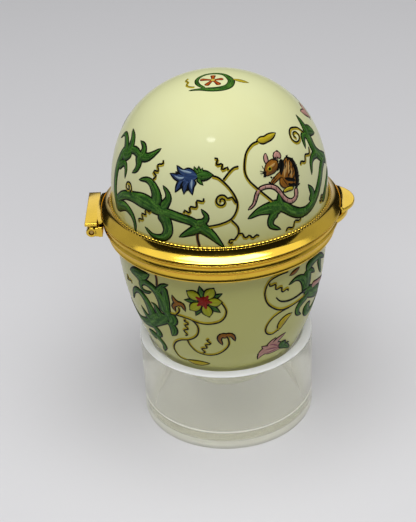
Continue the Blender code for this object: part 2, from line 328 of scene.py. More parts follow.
def dome_line(wall=0.0, points=48):
    line = quarter_egg(DOME_RADIUS - wall, DOME_TOP - DOME_SPRING - wall, 2.5, points)
    return [(r, DOME_SPRING + z) for r, z in line]


def cup_line(wall=0.0, points=48):
    line = quarter_egg(CUP_RADIUS - wall, CUP_SPRING - CUP_END - wall, 2.0, points)
    return [(r, CUP_SPRING - z) for r, z in line]


print("dome", round((DOME_TOP - DOME_SPRING) / MM, 2), "mm tall")


# %% Lathe
def put_in_scene(name, work, finish, body, smooth_below=35):
    """Turn a bmesh into a finished piece that rides on a body."""
    mesh = bpy.data.meshes.new(name)
    work.to_mesh(mesh)
    work.free()
    mesh.materials.append(finish)
    mesh.shade_smooth()
    mesh.set_sharp_from_angle(angle=math.radians(smooth_below))
    piece = bpy.data.objects.new(name, mesh)
    bpy.context.scene.collection.objects.link(piece)
    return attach(piece, body)


def spin_line(work, points, closed, steps, axis, centre=(0, 0, 0)):
    """Spin a line of points all the way round an axis."""
    verts = [work.verts.new(point) for point in points]
    pairs = list(zip(verts, verts[1:]))
    if closed:
        pairs.append((verts[-1], verts[0]))
    edges = [work.edges.new(pair) for pair in pairs]
    bmesh.ops.spin(work, geom=verts + edges, axis=axis, cent=centre,
                   angle=math.tau, steps=steps, use_merge=True)


def stand_in(name, work, finish, body, node):
    """Close a bmesh's seams, point its faces out, and let it stand for a CAD node."""
    bmesh.ops.remove_doubles(work, verts=work.verts, dist=1e-7)
    bmesh.ops.recalc_face_normals(work, faces=work.faces)
    piece = put_in_scene(name, work, finish, body)
    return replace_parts(piece, node)


LATHE_STEPS = 192


def turned(name, profile, finish, body, node, closed=True, steps=LATHE_STEPS):
    """Spin (radius, height) points about the egg's axis."""
    work = bmesh.new()
    spin_line(work, [(radius, 0, height) for radius, height in profile], closed, steps, (0, 0, 1))
    return stand_in(name, work, finish, body, node)


print("a step at the rim is", round(math.tau * RIM_RADIUS / LATHE_STEPS / MM, 2), "mm long")


# %% Rounds and coves


def arc(centre, radius, start, end, points=6):
    """Points of a round, in degrees: 0 faces outwards, 90 faces up."""
    turns = [math.radians(start + (end - start) * i / points) for i in range(points + 1)]
    return [(centre[0] + radius * math.cos(t), centre[1] + radius * math.sin(t)) for t in turns]


def cove(start, end, depth, points=10):
    """A hollow curve between two points, sunk by depth below the straight line."""
    line = []
    run = (end[0] - start[0], end[1] - start[1])
    length = math.hypot(*run)
    inward = (run[1] / length, -run[0] / length)
    for i in range(1, points):
        share = i / points
        sink = depth * math.sin(math.pi * share)
        line.append((start[0] + run[0] * share + inward[0] * sink,
                     start[1] + run[1] * share + inward[1] * sink))
    return line


print("a quarter round:", [(round(x, 2), round(y, 2)) for x, y in arc((0, 0), 1, 0, 90, points=3)])

# %% [markdown]
# ### The two shells
#
# Each shell is a closed wall: down the outside, round the lip and back up the inside. Spinning
# the whole wall at once keeps its thickness true and leaves no seam.

# %% Dome and cup
def make_shell(name, body, node, line, radius, lip):
    outside = [(radius, lip), *line()]
    inside = [(radius - SHELL_WALL, lip), *line(SHELL_WALL)]
    wall = [*reversed(outside), *inside]
    return turned(name, wall, GLAZE, body, node, closed=False)


DOME_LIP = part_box("lid_dome")[0].z
CUP_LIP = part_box("base_cup")[1].z
dome = make_shell("painted_dome", "lid", "lid_dome", dome_line, DOME_RADIUS, DOME_LIP)
cup = make_shell("painted_cup", "base", "base_cup", cup_line, CUP_RADIUS, CUP_LIP)
print("dome faces:", len(dome.data.polygons), "cup faces:", len(cup.data.polygons))

# %% [markdown]
# ### The gilt mounts
#
# The lid's mount is a wide cove between a fine bead against the glaze and a plain edge. Rounds
# this small could be beveled edges, but here they are arcs in the profile, so that they catch the
# light as one unbroken line. Inside, a thin skirt stands within the shell, and the shell's lip
# sits in the channel between skirt and cove.

# %% Lid mount
LID_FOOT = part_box("lid_bezel")[0].z
BEAD = 0.22 * MM
EDGE_ROUND = 0.1 * MM


def make_lid_mount():
    glaze_side = DOME_RADIUS + 0.06 * MM
    bead_centre = (glaze_side + BEAD, LID_MOUNT_TOP - BEAD)
    edge_centre = (RIM_RADIUS - EDGE_ROUND, LID_FOOT + EDGE_ROUND + 0.02 * MM)
    bead, edge = arc(bead_centre, BEAD, 180, 0), arc(edge_centre, EDGE_ROUND, 60, -60)
    cove_start = (bead[-1][0], bead[-1][1] - 0.1 * MM)
    cove_depth = 0.22 * MM
    outside = [*bead, *cove(cove_start, edge[0], cove_depth), *edge, (RIM_RADIUS - 0.2 * MM, LID_FOOT)]
    bore, skirt, skirt_top, channel = 18.1 * MM, 18.5 * MM, 51.2 * MM, 48.3 * MM
    inside = [(bore, LID_FOOT), (bore, skirt_top), (skirt, skirt_top), (skirt, channel),
              (glaze_side, channel)]
    return turned("lid_mount", [*outside, *inside], BEADED_GILT, "lid", "lid_bezel")


lid_mount = make_lid_mount()
print("lid mount faces:", len(lid_mount.data.polygons))

# %% [markdown]
# ### The base mount, the collar and the stand
#
# The base's mount steps down in two shallow coves with a bead above, between and below them, the
# collar is a thin brass band that the lid closes over, and the stand is a length of clear tube.
# All three are turned work, so the same spin makes them, and only their rounds differ.

# %% Base mount
BASE_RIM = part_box("base_bezel")[1].x
BASE_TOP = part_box("base_bezel")[1].z
BASE_FOOT = CUP_SPRING


def make_base_mount():
    fine = 0.17 * MM
    first = (BASE_RIM - BEAD, BASE_TOP - BEAD)
    second = (23.0 * MM, 45.5 * MM)
    last = (22.22 * MM, BASE_FOOT + BEAD)
    outside = [
        *arc(first, BEAD, 100, -50),
        *cove((23.2 * MM, 46.95 * MM), (22.95 * MM, 45.75 * MM), 0.28 * MM),
        *arc(second, fine, 60, -60),
        *cove((22.9 * MM, 45.3 * MM), (22.3 * MM, 43.55 * MM), 0.30 * MM),
        *arc(last, BEAD, 40, -90),
    ]
    glaze_side, channel = CUP_RADIUS + 0.05 * MM, 46.9 * MM
    bore, skirt, skirt_foot = 17.9 * MM, 18.2 * MM, 44.1 * MM
    inside = [(glaze_side, BASE_FOOT), (glaze_side, channel), (skirt, channel),
              (skirt, skirt_foot), (bore, skirt_foot), (bore, BASE_TOP)]
    return turned("base_mount", [*outside, *inside], SATIN_GILT, "base", "base_bezel")


base_mount = make_base_mount()
print("base mount faces:", len(base_mount.data.polygons))

# %% Collar and stand
COLLAR_LOW, COLLAR_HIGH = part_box("locating_collar")
STAND_BORE = 15.6 * MM


def make_collar():
    thick = 0.5 * MM
    outer, top, foot = COLLAR_HIGH.x, COLLAR_HIGH.z, COLLAR_LOW.z
    lip = arc((outer - thick / 2, top - thick / 2), thick / 2, 180, 0)
    profile = [*lip, (outer, foot), (outer - thick, foot)]
    return turned("inner_collar", profile, GILT, "base", "locating_collar")


def make_stand():
    outer, top = STAND_HIGH.x, STAND_HIGH.z
    soft, seat = 0.3 * MM, 0.45 * MM
    profile = [
        *arc((outer - soft, top - soft), soft, 90, 0, points=4),
        *arc((outer - soft, soft), soft, 0, -90, points=4),
        *arc((STAND_BORE + soft, soft), soft, 270, 180, points=4),
        (STAND_BORE, top - seat), (STAND_BORE + seat, top),
    ]
    stand = turned("acrylic_stand", profile, ACRYLIC, "stand", "stand_ring", steps=256)
    stand.data.materials.append(SAWN_ACRYLIC)
    for face in stand.data.polygons:
        face.material_index = int(abs(face.normal.z) > 0.5)
    return stand


collar, stand = make_collar(), make_stand()
print("stand faces:", len(stand.data.polygons))

# %% [markdown]
# ### Hinge, pin, thumb tab and catch
#
# The hinge is five knuckles on one pin: three on the base and two on the lid. Each knuckle is a
# drilled barrel on a small block, and each row is soldered along a plate to its mount. They
# could be cut from one block with booleans, but on real work they are separate bits joined by
# solder, so rounded bars and spun barrels simply sink into each other here.

# %% Bars and barrels
PIN_LOW, PIN_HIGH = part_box("hinge_pin")
PIN_RADIUS = (PIN_HIGH.x - PIN_LOW.x) / 2
HINGE_X = PIN_LOW.x + PIN_RADIUS
HINGE_Z = PIN_LOW.z + PIN_RADIUS
HINGE_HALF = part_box("hinge_base_leaf")[1].y
KNUCKLE_LENGTHS = (2.8 * MM, 2.0 * MM, 2.0 * MM, 2.0 * MM, 2.8 * MM)
KNUCKLE_GAP = 0.3 * MM
KNUCKLE_RADIUS = 1.05 * MM


def bevel_edges(work, edges, width, segments=3):
    bmesh.ops.bevel(work, geom=edges, offset=width, affect="EDGES", segments=segments,
                    profile=0.5, material=-1)


def add_bar(work, low, high, soft=0.12 * MM):
    """A box between two corners with rounded edges."""
    low, high = Vector(low), Vector(high)
    verts = bmesh.ops.create_cube(work, size=1.0)["verts"]
    bmesh.ops.scale(work, vec=high - low, verts=verts)
    bmesh.ops.translate(work, vec=(low + high) / 2, verts=verts)
    bevel_edges(work, list({edge for vert in verts for edge in vert.link_edges}), soft)


def spin_about_pin(work, line, closed, steps=40):
    """Spin (distance from the pin's axis, place along Y) points about that axis."""
    points = [(HINGE_X + away, along, HINGE_Z) for away, along in line]
    spin_line(work, points, closed, steps, (0, 1, 0), (HINGE_X, 0, HINGE_Z))


def add_barrel(work, span):
    soft, bore, radius = 0.14 * MM, PIN_RADIUS + 0.06 * MM, KNUCKLE_RADIUS
    line = [(bore, span[0]), (radius - soft, span[0]), (radius, span[0] + soft),
            (radius, span[1] - soft), (radius - soft, span[1]), (bore, span[1])]
    spin_about_pin(work, line, closed=True)


def knuckle_spans():
    spans, start = [], -HINGE_HALF
    for length in KNUCKLE_LENGTHS:
        spans.append((start, start + length))
        start += length + KNUCKLE_GAP
    return spans


print("knuckles:", [round((high - low) / MM, 1) for low, high in knuckle_spans()], "mm")


# %% Hinge
def make_base_hinge():
    work = bmesh.new()
    low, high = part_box("hinge_base_leaf")
    strap = HINGE_X + KNUCKLE_RADIUS + 0.2 * MM
    inset = 0.12 * MM
    add_bar(work, (strap, -HINGE_HALF, low.z), (high.x, HINGE_HALF, high.z))
    for span in knuckle_spans()[0::2]:
        add_barrel(work, span)
        add_bar(work, (HINGE_X + PIN_RADIUS * 1.3, span[0], low.z + inset),
                (strap + 2 * inset, span[1], high.z - inset))
    return stand_in("base_hinge_leaf", work, GILT, "base", "hinge_base_leaf")


def make_lid_hinge():
    work = bmesh.new()
    low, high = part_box("hinge_lid_leaf")
    plate_foot = HINGE_Z + KNUCKLE_RADIUS + KNUCKLE_GAP
    cheek = 0.7 * MM
    add_bar(work, (low.x, -HINGE_HALF, plate_foot), (-RIM_RADIUS - 0.3 * MM, HINGE_HALF, high.z))
    for span in knuckle_spans()[1::2]:
        add_barrel(work, span)
        add_bar(work, (HINGE_X - cheek, span[0], HINGE_Z + PIN_RADIUS * 1.3),
                (HINGE_X + cheek, span[1], plate_foot + 0.3 * MM))
    return stand_in("lid_hinge_leaf", work, GILT, "lid", "hinge_lid_leaf")


def make_pin():
    work = bmesh.new()
    half, soft = PIN_HIGH.y, 0.15 * MM
    line = [(0.0, -half), (PIN_RADIUS - soft, -half), (PIN_RADIUS, soft - half),
            (PIN_RADIUS, half - soft), (PIN_RADIUS - soft, half), (0.0, half)]
    spin_about_pin(work, line, closed=False, steps=32)
    return stand_in("brass_hinge_pin", work, PIN_METAL, "base", "hinge_pin")


hinge = [make_base_hinge(), make_lid_hinge(), make_pin()]
print("hinge pieces:", [piece.name for piece in hinge])


# %% Tab, catch and solder
def add_crescent(work, disc_radius, rim_radius, reach, low, high, points=28):
    """A plate at +X between a disc's edge and the round rim, with a softened outer edge."""
    centre = reach - disc_radius
    meet_x = (rim_radius ** 2 - disc_radius ** 2 + centre ** 2) / (2 * centre)
    meet_y = math.sqrt(rim_radius ** 2 - meet_x ** 2)
    outer_turn = math.atan2(meet_y, meet_x - centre)
    inner_turn = math.atan2(meet_y, meet_x)
    shares = [2 * i / points - 1 for i in range(points + 1)]
    outer = [(centre + disc_radius * math.cos(outer_turn * s), disc_radius * math.sin(outer_turn * s))
             for s in shares]
    inner = [(rim_radius * math.cos(inner_turn * s), rim_radius * math.sin(inner_turn * s))
             for s in reversed(shares[1:-1])]
    foot = work.faces.new([work.verts.new((x, y, low)) for x, y in [*outer, *inner]])
    top = bmesh.ops.extrude_face_region(work, geom=[foot], use_keep_orig=True)["geom"]
    raised = [item for item in top if isinstance(item, bmesh.types.BMVert)]
    bmesh.ops.translate(work, vec=(0, 0, high - low), verts=raised)
    rim = [edge for edge in work.edges
           if abs(edge.verts[0].co.z - edge.verts[1].co.z) < 1e-7
           and min(edge.verts[0].co.xy.length, edge.verts[1].co.xy.length) > rim_radius + 1e-6]
    bevel_edges(work, rim, 0.32 * (high - low), segments=4)


def add_solder(work, facing, half_angle, plate_top, plate_foot, steps=16):
    """A hollow fillet that joins a plate to the lid mount's edge, turned part of the way round."""
    edge = RIM_RADIUS - 0.15 * MM
    outer = RIM_RADIUS + 0.75 * MM
    section = [(edge, LID_FOOT + 0.35 * MM), (RIM_RADIUS + 0.2 * MM, plate_top + 0.16 * MM),
               (outer, plate_top - 0.02 * MM), (outer, plate_foot), (RIM_RADIUS + 0.3 * MM, plate_foot),
               (edge, LID_FOOT + 0.02 * MM)]
    start = math.radians(facing - half_angle)
    spoke = Vector((math.cos(start), math.sin(start), 0))
    verts = [work.verts.new((spoke.x * radius, spoke.y * radius, height))
             for radius, height in section]
    first = work.faces.new(verts)
    edges = list(first.edges)
    made = bmesh.ops.spin(work, geom=verts + edges, axis=(0, 0, 1), cent=(0, 0, 0),
                          angle=math.radians(2 * half_angle), steps=steps)["geom_last"]
    last = [item for item in made if isinstance(item, bmesh.types.BMEdge)]
    bmesh.ops.contextual_create(work, geom=last)


def make_crescent(name, body, node, disc_radius, rim_radius):
    work = bmesh.new()
    low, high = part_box(node)
    add_crescent(work, disc_radius, rim_radius, high.x, low.z, high.z)
    return stand_in(name, work, GILT, body, node)


def make_lid_solder():
    """The fillets that hold the tab and the hinge's plate to the lid mount."""
    work = bmesh.new()
    tab_low, tab_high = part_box("thumb_tab")
    leaf_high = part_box("hinge_lid_leaf")[1]
    add_solder(work, 0, 11, tab_high.z, tab_low.z + 0.3 * MM)
    add_solder(work, 180, 14, leaf_high.z - 0.02 * MM, leaf_high.z - 0.45 * MM)
    bmesh.ops.recalc_face_normals(work, faces=work.faces)
    return put_in_scene("lid_solder", work, GILT, "lid")


fittings = [make_crescent("lid_thumb_tab", "lid", "thumb_tab", 5.8 * MM, RIM_RADIUS + 0.25 * MM),
            make_crescent("front_catch", "base", "base_catch", 8.6 * MM, RIM_RADIUS - 0.9 * MM),
            make_lid_solder()]
for node in ("base_cement", "lid_cement"):
    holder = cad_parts[node]
    holder.data.materials.clear()
    holder.data.materials.append(PLASTER)
print("fittings:", [piece.name for piece in fittings])

# %% [markdown]
# ## Painting the glaze
#
# The decoration is enamel laid on the glaze with a fine brush and fired, so it stands a few hundredths of a
# millimetre proud of it. It could be an image, or one large shader of shapes, but brush strokes are what a
# painter makes. So each stroke here is a narrow grid bent along a path: listed points give the path, and a
# few widths give the pressure. A point on the egg is an azimuth in degrees, from the front towards the thumb
# tab, and an arc in millimetres, measured over the glaze from the brass mount.

# %% Places on the glaze
class Shell:
    """The outer face of a shell, addressed by azimuth in degrees and arc in millimetres."""

    def __init__(self, line):
        self.line = np.array(line) / MM
        runs = np.linalg.norm(np.diff(self.line, axis=0), axis=1)
        self.arc = np.concatenate([[0.0], np.cumsum(runs)])
        along = np.gradient(self.line, self.arc, axis=0)
        out = np.stack([along[:, 1], -along[:, 0]], axis=1) * np.sign(along[0, 1])
        self.out = out / np.linalg.norm(out, axis=1)[:, None]
        self.reach = self.arc[-1]

    def radius(self, arc):
        return np.interp(arc, self.arc, self.line[:, 0])

    def place(self, spots, lift):
        """Points in metres, lift millimetres above the glaze."""
        spin, arc = np.radians(spots[..., 0]), spots[..., 1]
        radius, height, out_r, out_z = (
            np.interp(arc, self.arc, column) for column in (*self.line.T, *self.out.T))
        radius, height = radius + lift * out_r, height + lift * out_z
        return np.stack([radius * np.sin(spin), -radius * np.cos(spin), height], axis=-1) * MM

    def from_crown(self, flat):
        """Azimuth and arc of points given in millimetres east and north of the pole."""
        spin = np.degrees(np.arctan2(flat[..., 0], -flat[..., 1]))
        return np.stack([spin, self.reach - np.hypot(flat[..., 0], flat[..., 1])], axis=-1)


FINE_STEPS = 600
DOME_SHELL = Shell(dome_line(points=FINE_STEPS))
CUP_SHELL = Shell(cup_line(points=FINE_STEPS))
print("arc over the dome:", round(DOME_SHELL.reach, 1), "mm, over the cup:",
      round(CUP_SHELL.reach, 1), "mm")

# %% [markdown]
# ### One brush stroke
#
# A Catmull-Rom curve passes through every point it is given, which suits points given one by one.
# The stroke's samples crowd together at both ends, where its width follows a round cap, so one
# routine draws a stem, a pointed horn, a leaf and, when it is as wide as it is long, a dot.

# %% Paths
def smooth_path(points, per_span=10):
    """A Catmull-Rom curve through the points, as an array."""
    knots = np.array(points, dtype=float)
    knots = np.vstack([2 * knots[0] - knots[1], knots, 2 * knots[-1] - knots[-2]])
    curve = []
    for before, start, end, after in zip(knots, knots[1:], knots[2:], knots[3:]):
        for t in np.arange(per_span) / per_span:
            bend = 2 * before - 5 * start + 4 * end - after
            twist = 3 * start - before - 3 * end + after
            curve.append(start + 0.5 * ((end - before) * t + bend * t ** 2 + twist * t ** 3))
    curve.append(knots[-2])
    return np.array(curve)


def spaced(start_cap, end_cap, length, spacing=0.42):
    """Distances along a stroke, crowded where its two round ends are."""
    quarter = 1 - np.cos(np.linspace(0, 0.5 * np.pi, 5))
    middle = length - start_cap - end_cap
    runs = max(1, math.ceil(middle / spacing))
    inner = start_cap + middle * np.arange(1, runs) / runs
    return np.concatenate([start_cap * quarter, inner, length - end_cap * quarter[::-1]])


print("samples on a 2 mm stroke with 0.3 mm caps:", len(spaced(0.3, 0.3, 2.0)))

# %% [markdown]
# ### The brush
#
# Each colour is one film of paint on each shell, a bmesh that all of its strokes share. A stroke
# has a level, and levels are about a hundredth of a millimetre apart, so that a later stroke
# hides an earlier one, as brushed enamel does, and two colours never share a surface.

# %% Brush
FIRST_LIFT, LEVEL_LIFT = 0.012, 0.012


class Brush:
    """Lays strokes on one shell, keeping a film of paint for each colour."""

    def __init__(self, shell, shift=0.0, mirror=1.0, films=None):
        self.shell, self.shift, self.mirror = shell, shift, mirror
        self.films = {} if films is None else films

    def turned(self, shift, mirror=1.0):
        """The same brush, painting further round the egg or mirrored."""
        return Brush(self.shell, shift, mirror, self.films)

    def film(self, colour):
        if colour not in self.films:
            self.films[colour] = bmesh.new()
            self.films[colour].loops.layers.uv.new("stroke")
        return self.films[colour]

    def stroke(self, colour, points, widths, level, grow=0.0, crown=False):
        """Paint one stroke. Widths are in millimetres and spread evenly along it."""
        path = smooth_path(points)
        if not crown:
            path[:, 0] = self.shift + self.mirror * path[:, 0]
        ends = np.array([path[0] - path[1], path[-1] - path[-2]])
        scale = np.ones(len(path)) if crown else np.radians(self.shell.radius(path[:, 1]))
        lengths = np.hypot(ends[:, 0] * scale[[0, -1]], ends[:, 1])
        path = np.vstack([path[0] + ends[0] * (grow / lengths[0] + 1e-6), path,
                          path[-1] + ends[1] * (grow / lengths[1] + 1e-6)])
        scale = np.concatenate([scale[:1], scale, scale[-1:]])
        runs = np.diff(path, axis=0)
        run_scale = (scale[1:] + scale[:-1]) / 2
        along = np.concatenate([[0.0], np.cumsum(np.hypot(runs[:, 0] * run_scale, runs[:, 1]))])
        length = along[-1]
        pressure = smooth_path([(i / (len(widths) - 1), width) for i, width in enumerate(widths)])

        def half_width(distance):
            """Half the brush's width, and round it the ink's rim, which thins at both tips."""
            share = np.clip((distance - grow) / (length - 2 * grow), 0, 1)
            from_end = np.minimum(distance, length - distance)
            rim = grow * np.clip(from_end / (2 * grow + 1e-9), 0.3, 1)
            return np.interp(share, pressure[:, 0], np.maximum(pressure[:, 1], 0)) / 2 + rim

        caps = [min(float(half_width(spot)), length * 0.49) for spot in (0.0, length)]
        samples = spaced(*caps, length)
        halves = half_width(samples)
        for cap, away in ((caps[0], samples), (caps[1], length - samples)):
            rise = np.clip(1 - away / max(cap, 1e-6), 0, 1)
            halves = halves * np.sqrt(1 - rise ** 2)
        spots = np.stack([np.interp(samples, along, path[:, axis]) for axis in (0, 1)], axis=1)
        scales = np.interp(samples, along, scale)
        heading = np.gradient(spots, axis=0) * np.stack([scales, np.ones_like(scales)], axis=1)
        heading /= np.maximum(np.linalg.norm(heading, axis=1), 1e-9)[:, None]
        across = max(2, 2 * round(halves.max() / 0.8))
        offsets = halves[:, None] * np.linspace(-1, 1, across + 1)[None, :]
        map_east = spots[:, :1] - heading[:, 1:] * offsets / scales[:, None]
        map_up = spots[:, 1:] + heading[:, :1] * offsets
        grid_spots = np.stack([map_east, map_up], axis=-1)
        if crown:
            grid_spots = self.shell.from_crown(grid_spots)
        self.lay(colour, grid_spots, FIRST_LIFT + level * LEVEL_LIFT, length)

    def lay(self, colour, spots, lift, length):
        """Bend a grid on to the glaze. Its UV map is millimetres along and 0 to 1 across."""
        film = self.film(colour)
        places = self.shell.place(spots, lift)
        along, across = spots.shape[0] - 1, spots.shape[1] - 1
        made = bmesh.ops.create_grid(film, x_segments=along, y_segments=across, size=1.0,
                                     calc_uvs=True)["verts"]
        stroke_map = film.loops.layers.uv["stroke"]
        for face in {face for vert in made for face in vert.link_faces}:
            for loop in face.loops:
                loop[stroke_map].uv.x *= length
        for vert in made:
            column = round((vert.co.x + 1) / 2 * along)
            row = round((vert.co.y + 1) / 2 * across)
            vert.co = places[column, row]


print("a stroke's levels are", LEVEL_LIFT, "mm apart")

# %% [markdown]
# ### The painter's marks
#
# The style has a small vocabulary. Stems, horns and leaves are filled and inked round. Tendrils
# are an ink line with a touch of ochre along one side, squiggles are wavy tendrils and curls are
# tendrils that wind up. Ink goes down first and a little wider, and colour covers its middle, so
# where two shapes meet their colours join and the ink stays outside.

# %% Filled marks
INK = 0.3


def filled(brush, colour, points, widths, level=0, ink=INK, crown=False):
    brush.stroke("ink", points, widths, 2 * level, ink, crown)
    brush.stroke(colour, points, widths, 2 * level + 1, 0.0, crown)


def stem(brush, colour, points, width, level=0, ink=INK, crown=False):
    filled(brush, colour, points, (width, width), level, ink, crown)


def horn(brush, colour, points, width, level=0, ink=INK, crown=False):
    taper = [width * share for share in (1.15, 0.95, 0.74, 0.52, 0.28, 0.03)]
    filled(brush, colour, points, taper, level, ink, crown)


def leaf(brush, colour, points, width, level=0, ink=INK, crown=False):
    swell = [width * share for share in (0.1, 0.6, 0.92, 1.0, 0.86, 0.55, 0.06)]
    filled(brush, colour, points, swell, level, ink, crown)


def dot(brush, colour, spot, size, level=0):
    ends = [(spot[0], spot[1] - size / 2), (spot[0], spot[1] + size / 2)]
    brush.stroke(colour, ends, (size, size), 2 * level + 1)


print("filled marks:", [mark.__name__ for mark in (stem, horn, leaf, dot)])


# %% Line marks
def tendril(brush, points, colour="ochre", ink=0.34, touch=0.6, level=0, crown=False):
    """An ink line with a touch of colour along the side nearer the mount."""
    drop = 0.24
    lower = [(east, up - drop) for east, up in points]
    brush.stroke(colour, lower, (touch, touch), 2 * level, 0.0, crown)
    brush.stroke("ink", points, (ink, ink), 2 * level + 1, 0.0, crown)


def squiggle(brush, points, colour="ochre", waves=3, size=0.42, level=0):
    """A wavy tendril along a path."""
    path = smooth_path(points, per_span=16)
    scale = math.radians(float(brush.shell.radius(path[:, 1].mean())))
    flat = path * np.array([scale, 1.0])
    heading = np.gradient(flat, axis=0)
    heading /= np.linalg.norm(heading, axis=1)[:, None]
    share = np.linspace(0, 1, len(path))
    sway = size * np.sin(math.tau * waves * share)[:, None]
    flat = flat + sway * np.stack([-heading[:, 1], heading[:, 0]], axis=1)
    wavy = flat / np.array([scale, 1.0])
    tendril(brush, wavy[::2].tolist(), colour, ink=0.36, touch=0.6, level=level)


def curl(brush, centre, size, turns, start, colour="ochre", level=0, lead=()):
    """A tendril that follows some lead-in points and winds up round a centre."""
    scale = math.radians(float(brush.shell.radius(centre[1])))
    count = max(6, round(abs(turns) * 8))
    points = list(lead)
    for i in range(count + 1):
        share = i / count
        angle = math.radians(start) + math.tau * turns * share
        away = size * (1 - 0.85 * share)
        points.append((centre[0] + away * math.cos(angle) / scale,
                       centre[1] + away * math.sin(angle)))
    tendril(brush, points, colour, level=level)


print("line marks:", [mark.__name__ for mark in (tendril, squiggle, curl)])

# %% [markdown]
# ### The dome: scrolling branches
#
# Two thick branches climb the sides and a third runs along the mount. Each is a stem with hooked
# horns, so the functions below read as a list of marks, going up the branch. Nothing is painted
# yet: the motifs are collected here, and laid on both sides of the egg at the end.

# %% Left branch
GREEN, OCHRE, BLUE, PINK, BROWN = "green", "ochre", "blue", "pink", "brown"


def left_branch(brush):
    stem(brush, GREEN, [(-66, 2), (-70.5, 5), (-71.5, 9), (-70.5, 12), (-68, 14)], 1.5)
    horn(brush, GREEN, [(-66.5, 13.6), (-70, 15.2), (-77.5, 16), (-82, 14.6)], 1.3)
    horn(brush, GREEN, [(-64.5, 13.6), (-63.4, 15.4), (-66, 16.9), (-71.2, 17.8)], 1.9)
    stem(brush, GREEN, [(-68.5, 13), (-64.6, 13.3), (-61, 14.6)], 1.7)
    horn(brush, GREEN, [(-69.5, 10.6), (-64, 11.9), (-60.8, 11.2), (-60, 9.6)], 1.3)
    stem(brush, GREEN, [(-62, 14.9), (-57, 15.2), (-52, 14.8), (-49, 15)], 1.1)
    horn(brush, GREEN, [(-52, 14.9), (-47, 15), (-43.6, 15.6), (-38.2, 17.3)], 1.6)
    horn(brush, GREEN, [(-50.2, 15), (-50.4, 16.2), (-52.4, 16.9), (-56, 17.2)], 1.2)
    horn(brush, GREEN, [(-52.6, 14.8), (-50.8, 13.4), (-51.4, 12.2), (-53.8, 11.4)], 1.5)
    curl(brush, (-55.5, 8.4), 1.2, 1.5, -60, lead=[(-52, 7.2)])


def mount_branch(brush):
    branch = [(-67, 4), (-60, 6), (-53, 6.9), (-43, 7.2), (-38, 7), (-33, 6.5), (-27.2, 6.2),
              (-20.8, 5.8), (-15.5, 5.4), (-11.5, 4.7)]
    filled(brush, GREEN, branch, (1.2, 1.3, 1.4, 1.8, 2.5, 2.3, 1.6, 1.4, 1.3, 1.2))
    horn(brush, GREEN, [(-67, 2.8), (-58, 4.1), (-52, 3.5), (-49.4, 2), (-49.2, 0.2)], 1.9)
    horn(brush, GREEN, [(-34.4, 7.4), (-34.6, 9.2), (-37.8, 10.8), (-42, 11.3), (-47, 10.8)], 1.9)
    horn(brush, GREEN, [(-30.6, 7), (-27.5, 8.8), (-28, 10), (-30.6, 11)], 1.4)
    horn(brush, GREEN, [(-31.4, 6), (-28.2, 4.4), (-27.6, 2.5), (-30.6, 1.1), (-36.4, 0.9), (-41.2, 2)],
         2.0)
    horn(brush, GREEN, [(-12.5, 4.9), (-8.6, 5.4), (-7.2, 6.4), (-9.4, 7.6)], 1.2)
    horn(brush, GREEN, [(-13, 4.9), (-8.5, 3.9), (-4.5, 2.6), (0.6, 0.3)], 2.1)
    horn(brush, GREEN, [(-10.6, 4.3), (-14, 3.5), (-17, 2.9), (-21, 2)], 1.7)
    tendril(brush, [(-12, 3.2), (-12, 2), (-11.2, 0.5)], BROWN)


def front_squiggles(brush):
    squiggle(brush, [(-38, 6), (-41, 5.2), (-43.2, 4.1), (-45.5, 2.7)])
    squiggle(brush, [(-36.5, 11.3), (-37.5, 12.8), (-36, 14), (-34, 15.6)])
    squiggle(brush, [(-18.5, 6.8), (-15.5, 7.5), (-12, 8.7), (-8.5, 9.8)])
    squiggle(brush, [(-2.5, 16.8), (0, 15.9), (2.3, 15.2), (5, 14.6)], waves=2.5)
    squiggle(brush, [(8.5, 2.7), (12, 2), (15, 1.8), (18.5, 1.6)], waves=2.5, size=0.3)
    squiggle(brush, [(34, 0.9), (39, 1.7), (44, 2.5)], waves=2)
    squiggle(brush, [(50, 11.9), (56, 12.5), (63.5, 13.3)], waves=2.2, size=0.35)


dome_motifs = [left_branch, mount_branch, front_squiggles]
print("dome motifs:", [motif.__name__ for motif in dome_motifs])


# %% Right branches
def right_branch(brush):
    horn(brush, GREEN, [(32, 6), (26, 6.5), (19.5, 6.4), (13.8, 5.5)], 2.6)
    stem(brush, GREEN, [(25, 6.3), (30, 6.4), (34, 5.7), (38, 4.5), (43, 3.4), (48, 3)], 1.6)
    horn(brush, GREEN, [(31.4, 5.8), (31.2, 7.3), (31.3, 8.8)], 1.7)
    horn(brush, GREEN, [(28.5, 5.4), (25.6, 4.4), (25.4, 3), (30.2, 1.8)], 1.3)
    stem(brush, GREEN, [(46, 3), (52, 3.3), (58, 4.5), (64, 6.5), (70, 8.4), (76, 9)], 1.5)
    horn(brush, GREEN, [(53.5, 4.2), (54.6, 5.8), (52.3, 7.5)], 1.6)
    stem(brush, GREEN, [(82, 8), (77, 9.2), (72, 10.4), (68.5, 11.8), (67.6, 13.4), (68.4, 15.4)], 1.7)
    horn(brush, GREEN, [(69, 11.4), (64, 11.6), (59.8, 11), (57.3, 9.1)], 1.3)
    horn(brush, GREEN, [(68.4, 15), (65, 15.9), (62, 15.6), (59.6, 14)], 1.3)
    leaf(brush, GREEN, [(66.5, 15.4), (71, 15.8), (75, 15.3), (79, 14.2)], 1.9)
    horn(brush, GREEN, [(69.5, 15.6), (70.8, 17.2), (72.2, 19.2)], 1.6)
    curl(brush, (56.5, 16.9), 1.7, 1.6, 50, lead=[(66, 16.2), (63.5, 17.6)])
    leaf(brush, PINK, [(97, 18.6), (94, 17.9), (91, 17), (88.6, 15.8)], 1.3)
    stem(brush, GREEN, [(66, 2), (71, 3.4), (76, 4.6), (83, 5.6)], 1.2)
    curl(brush, (64, 3.1), 0.8, 1.3, 200, lead=[(70, 3.4)])


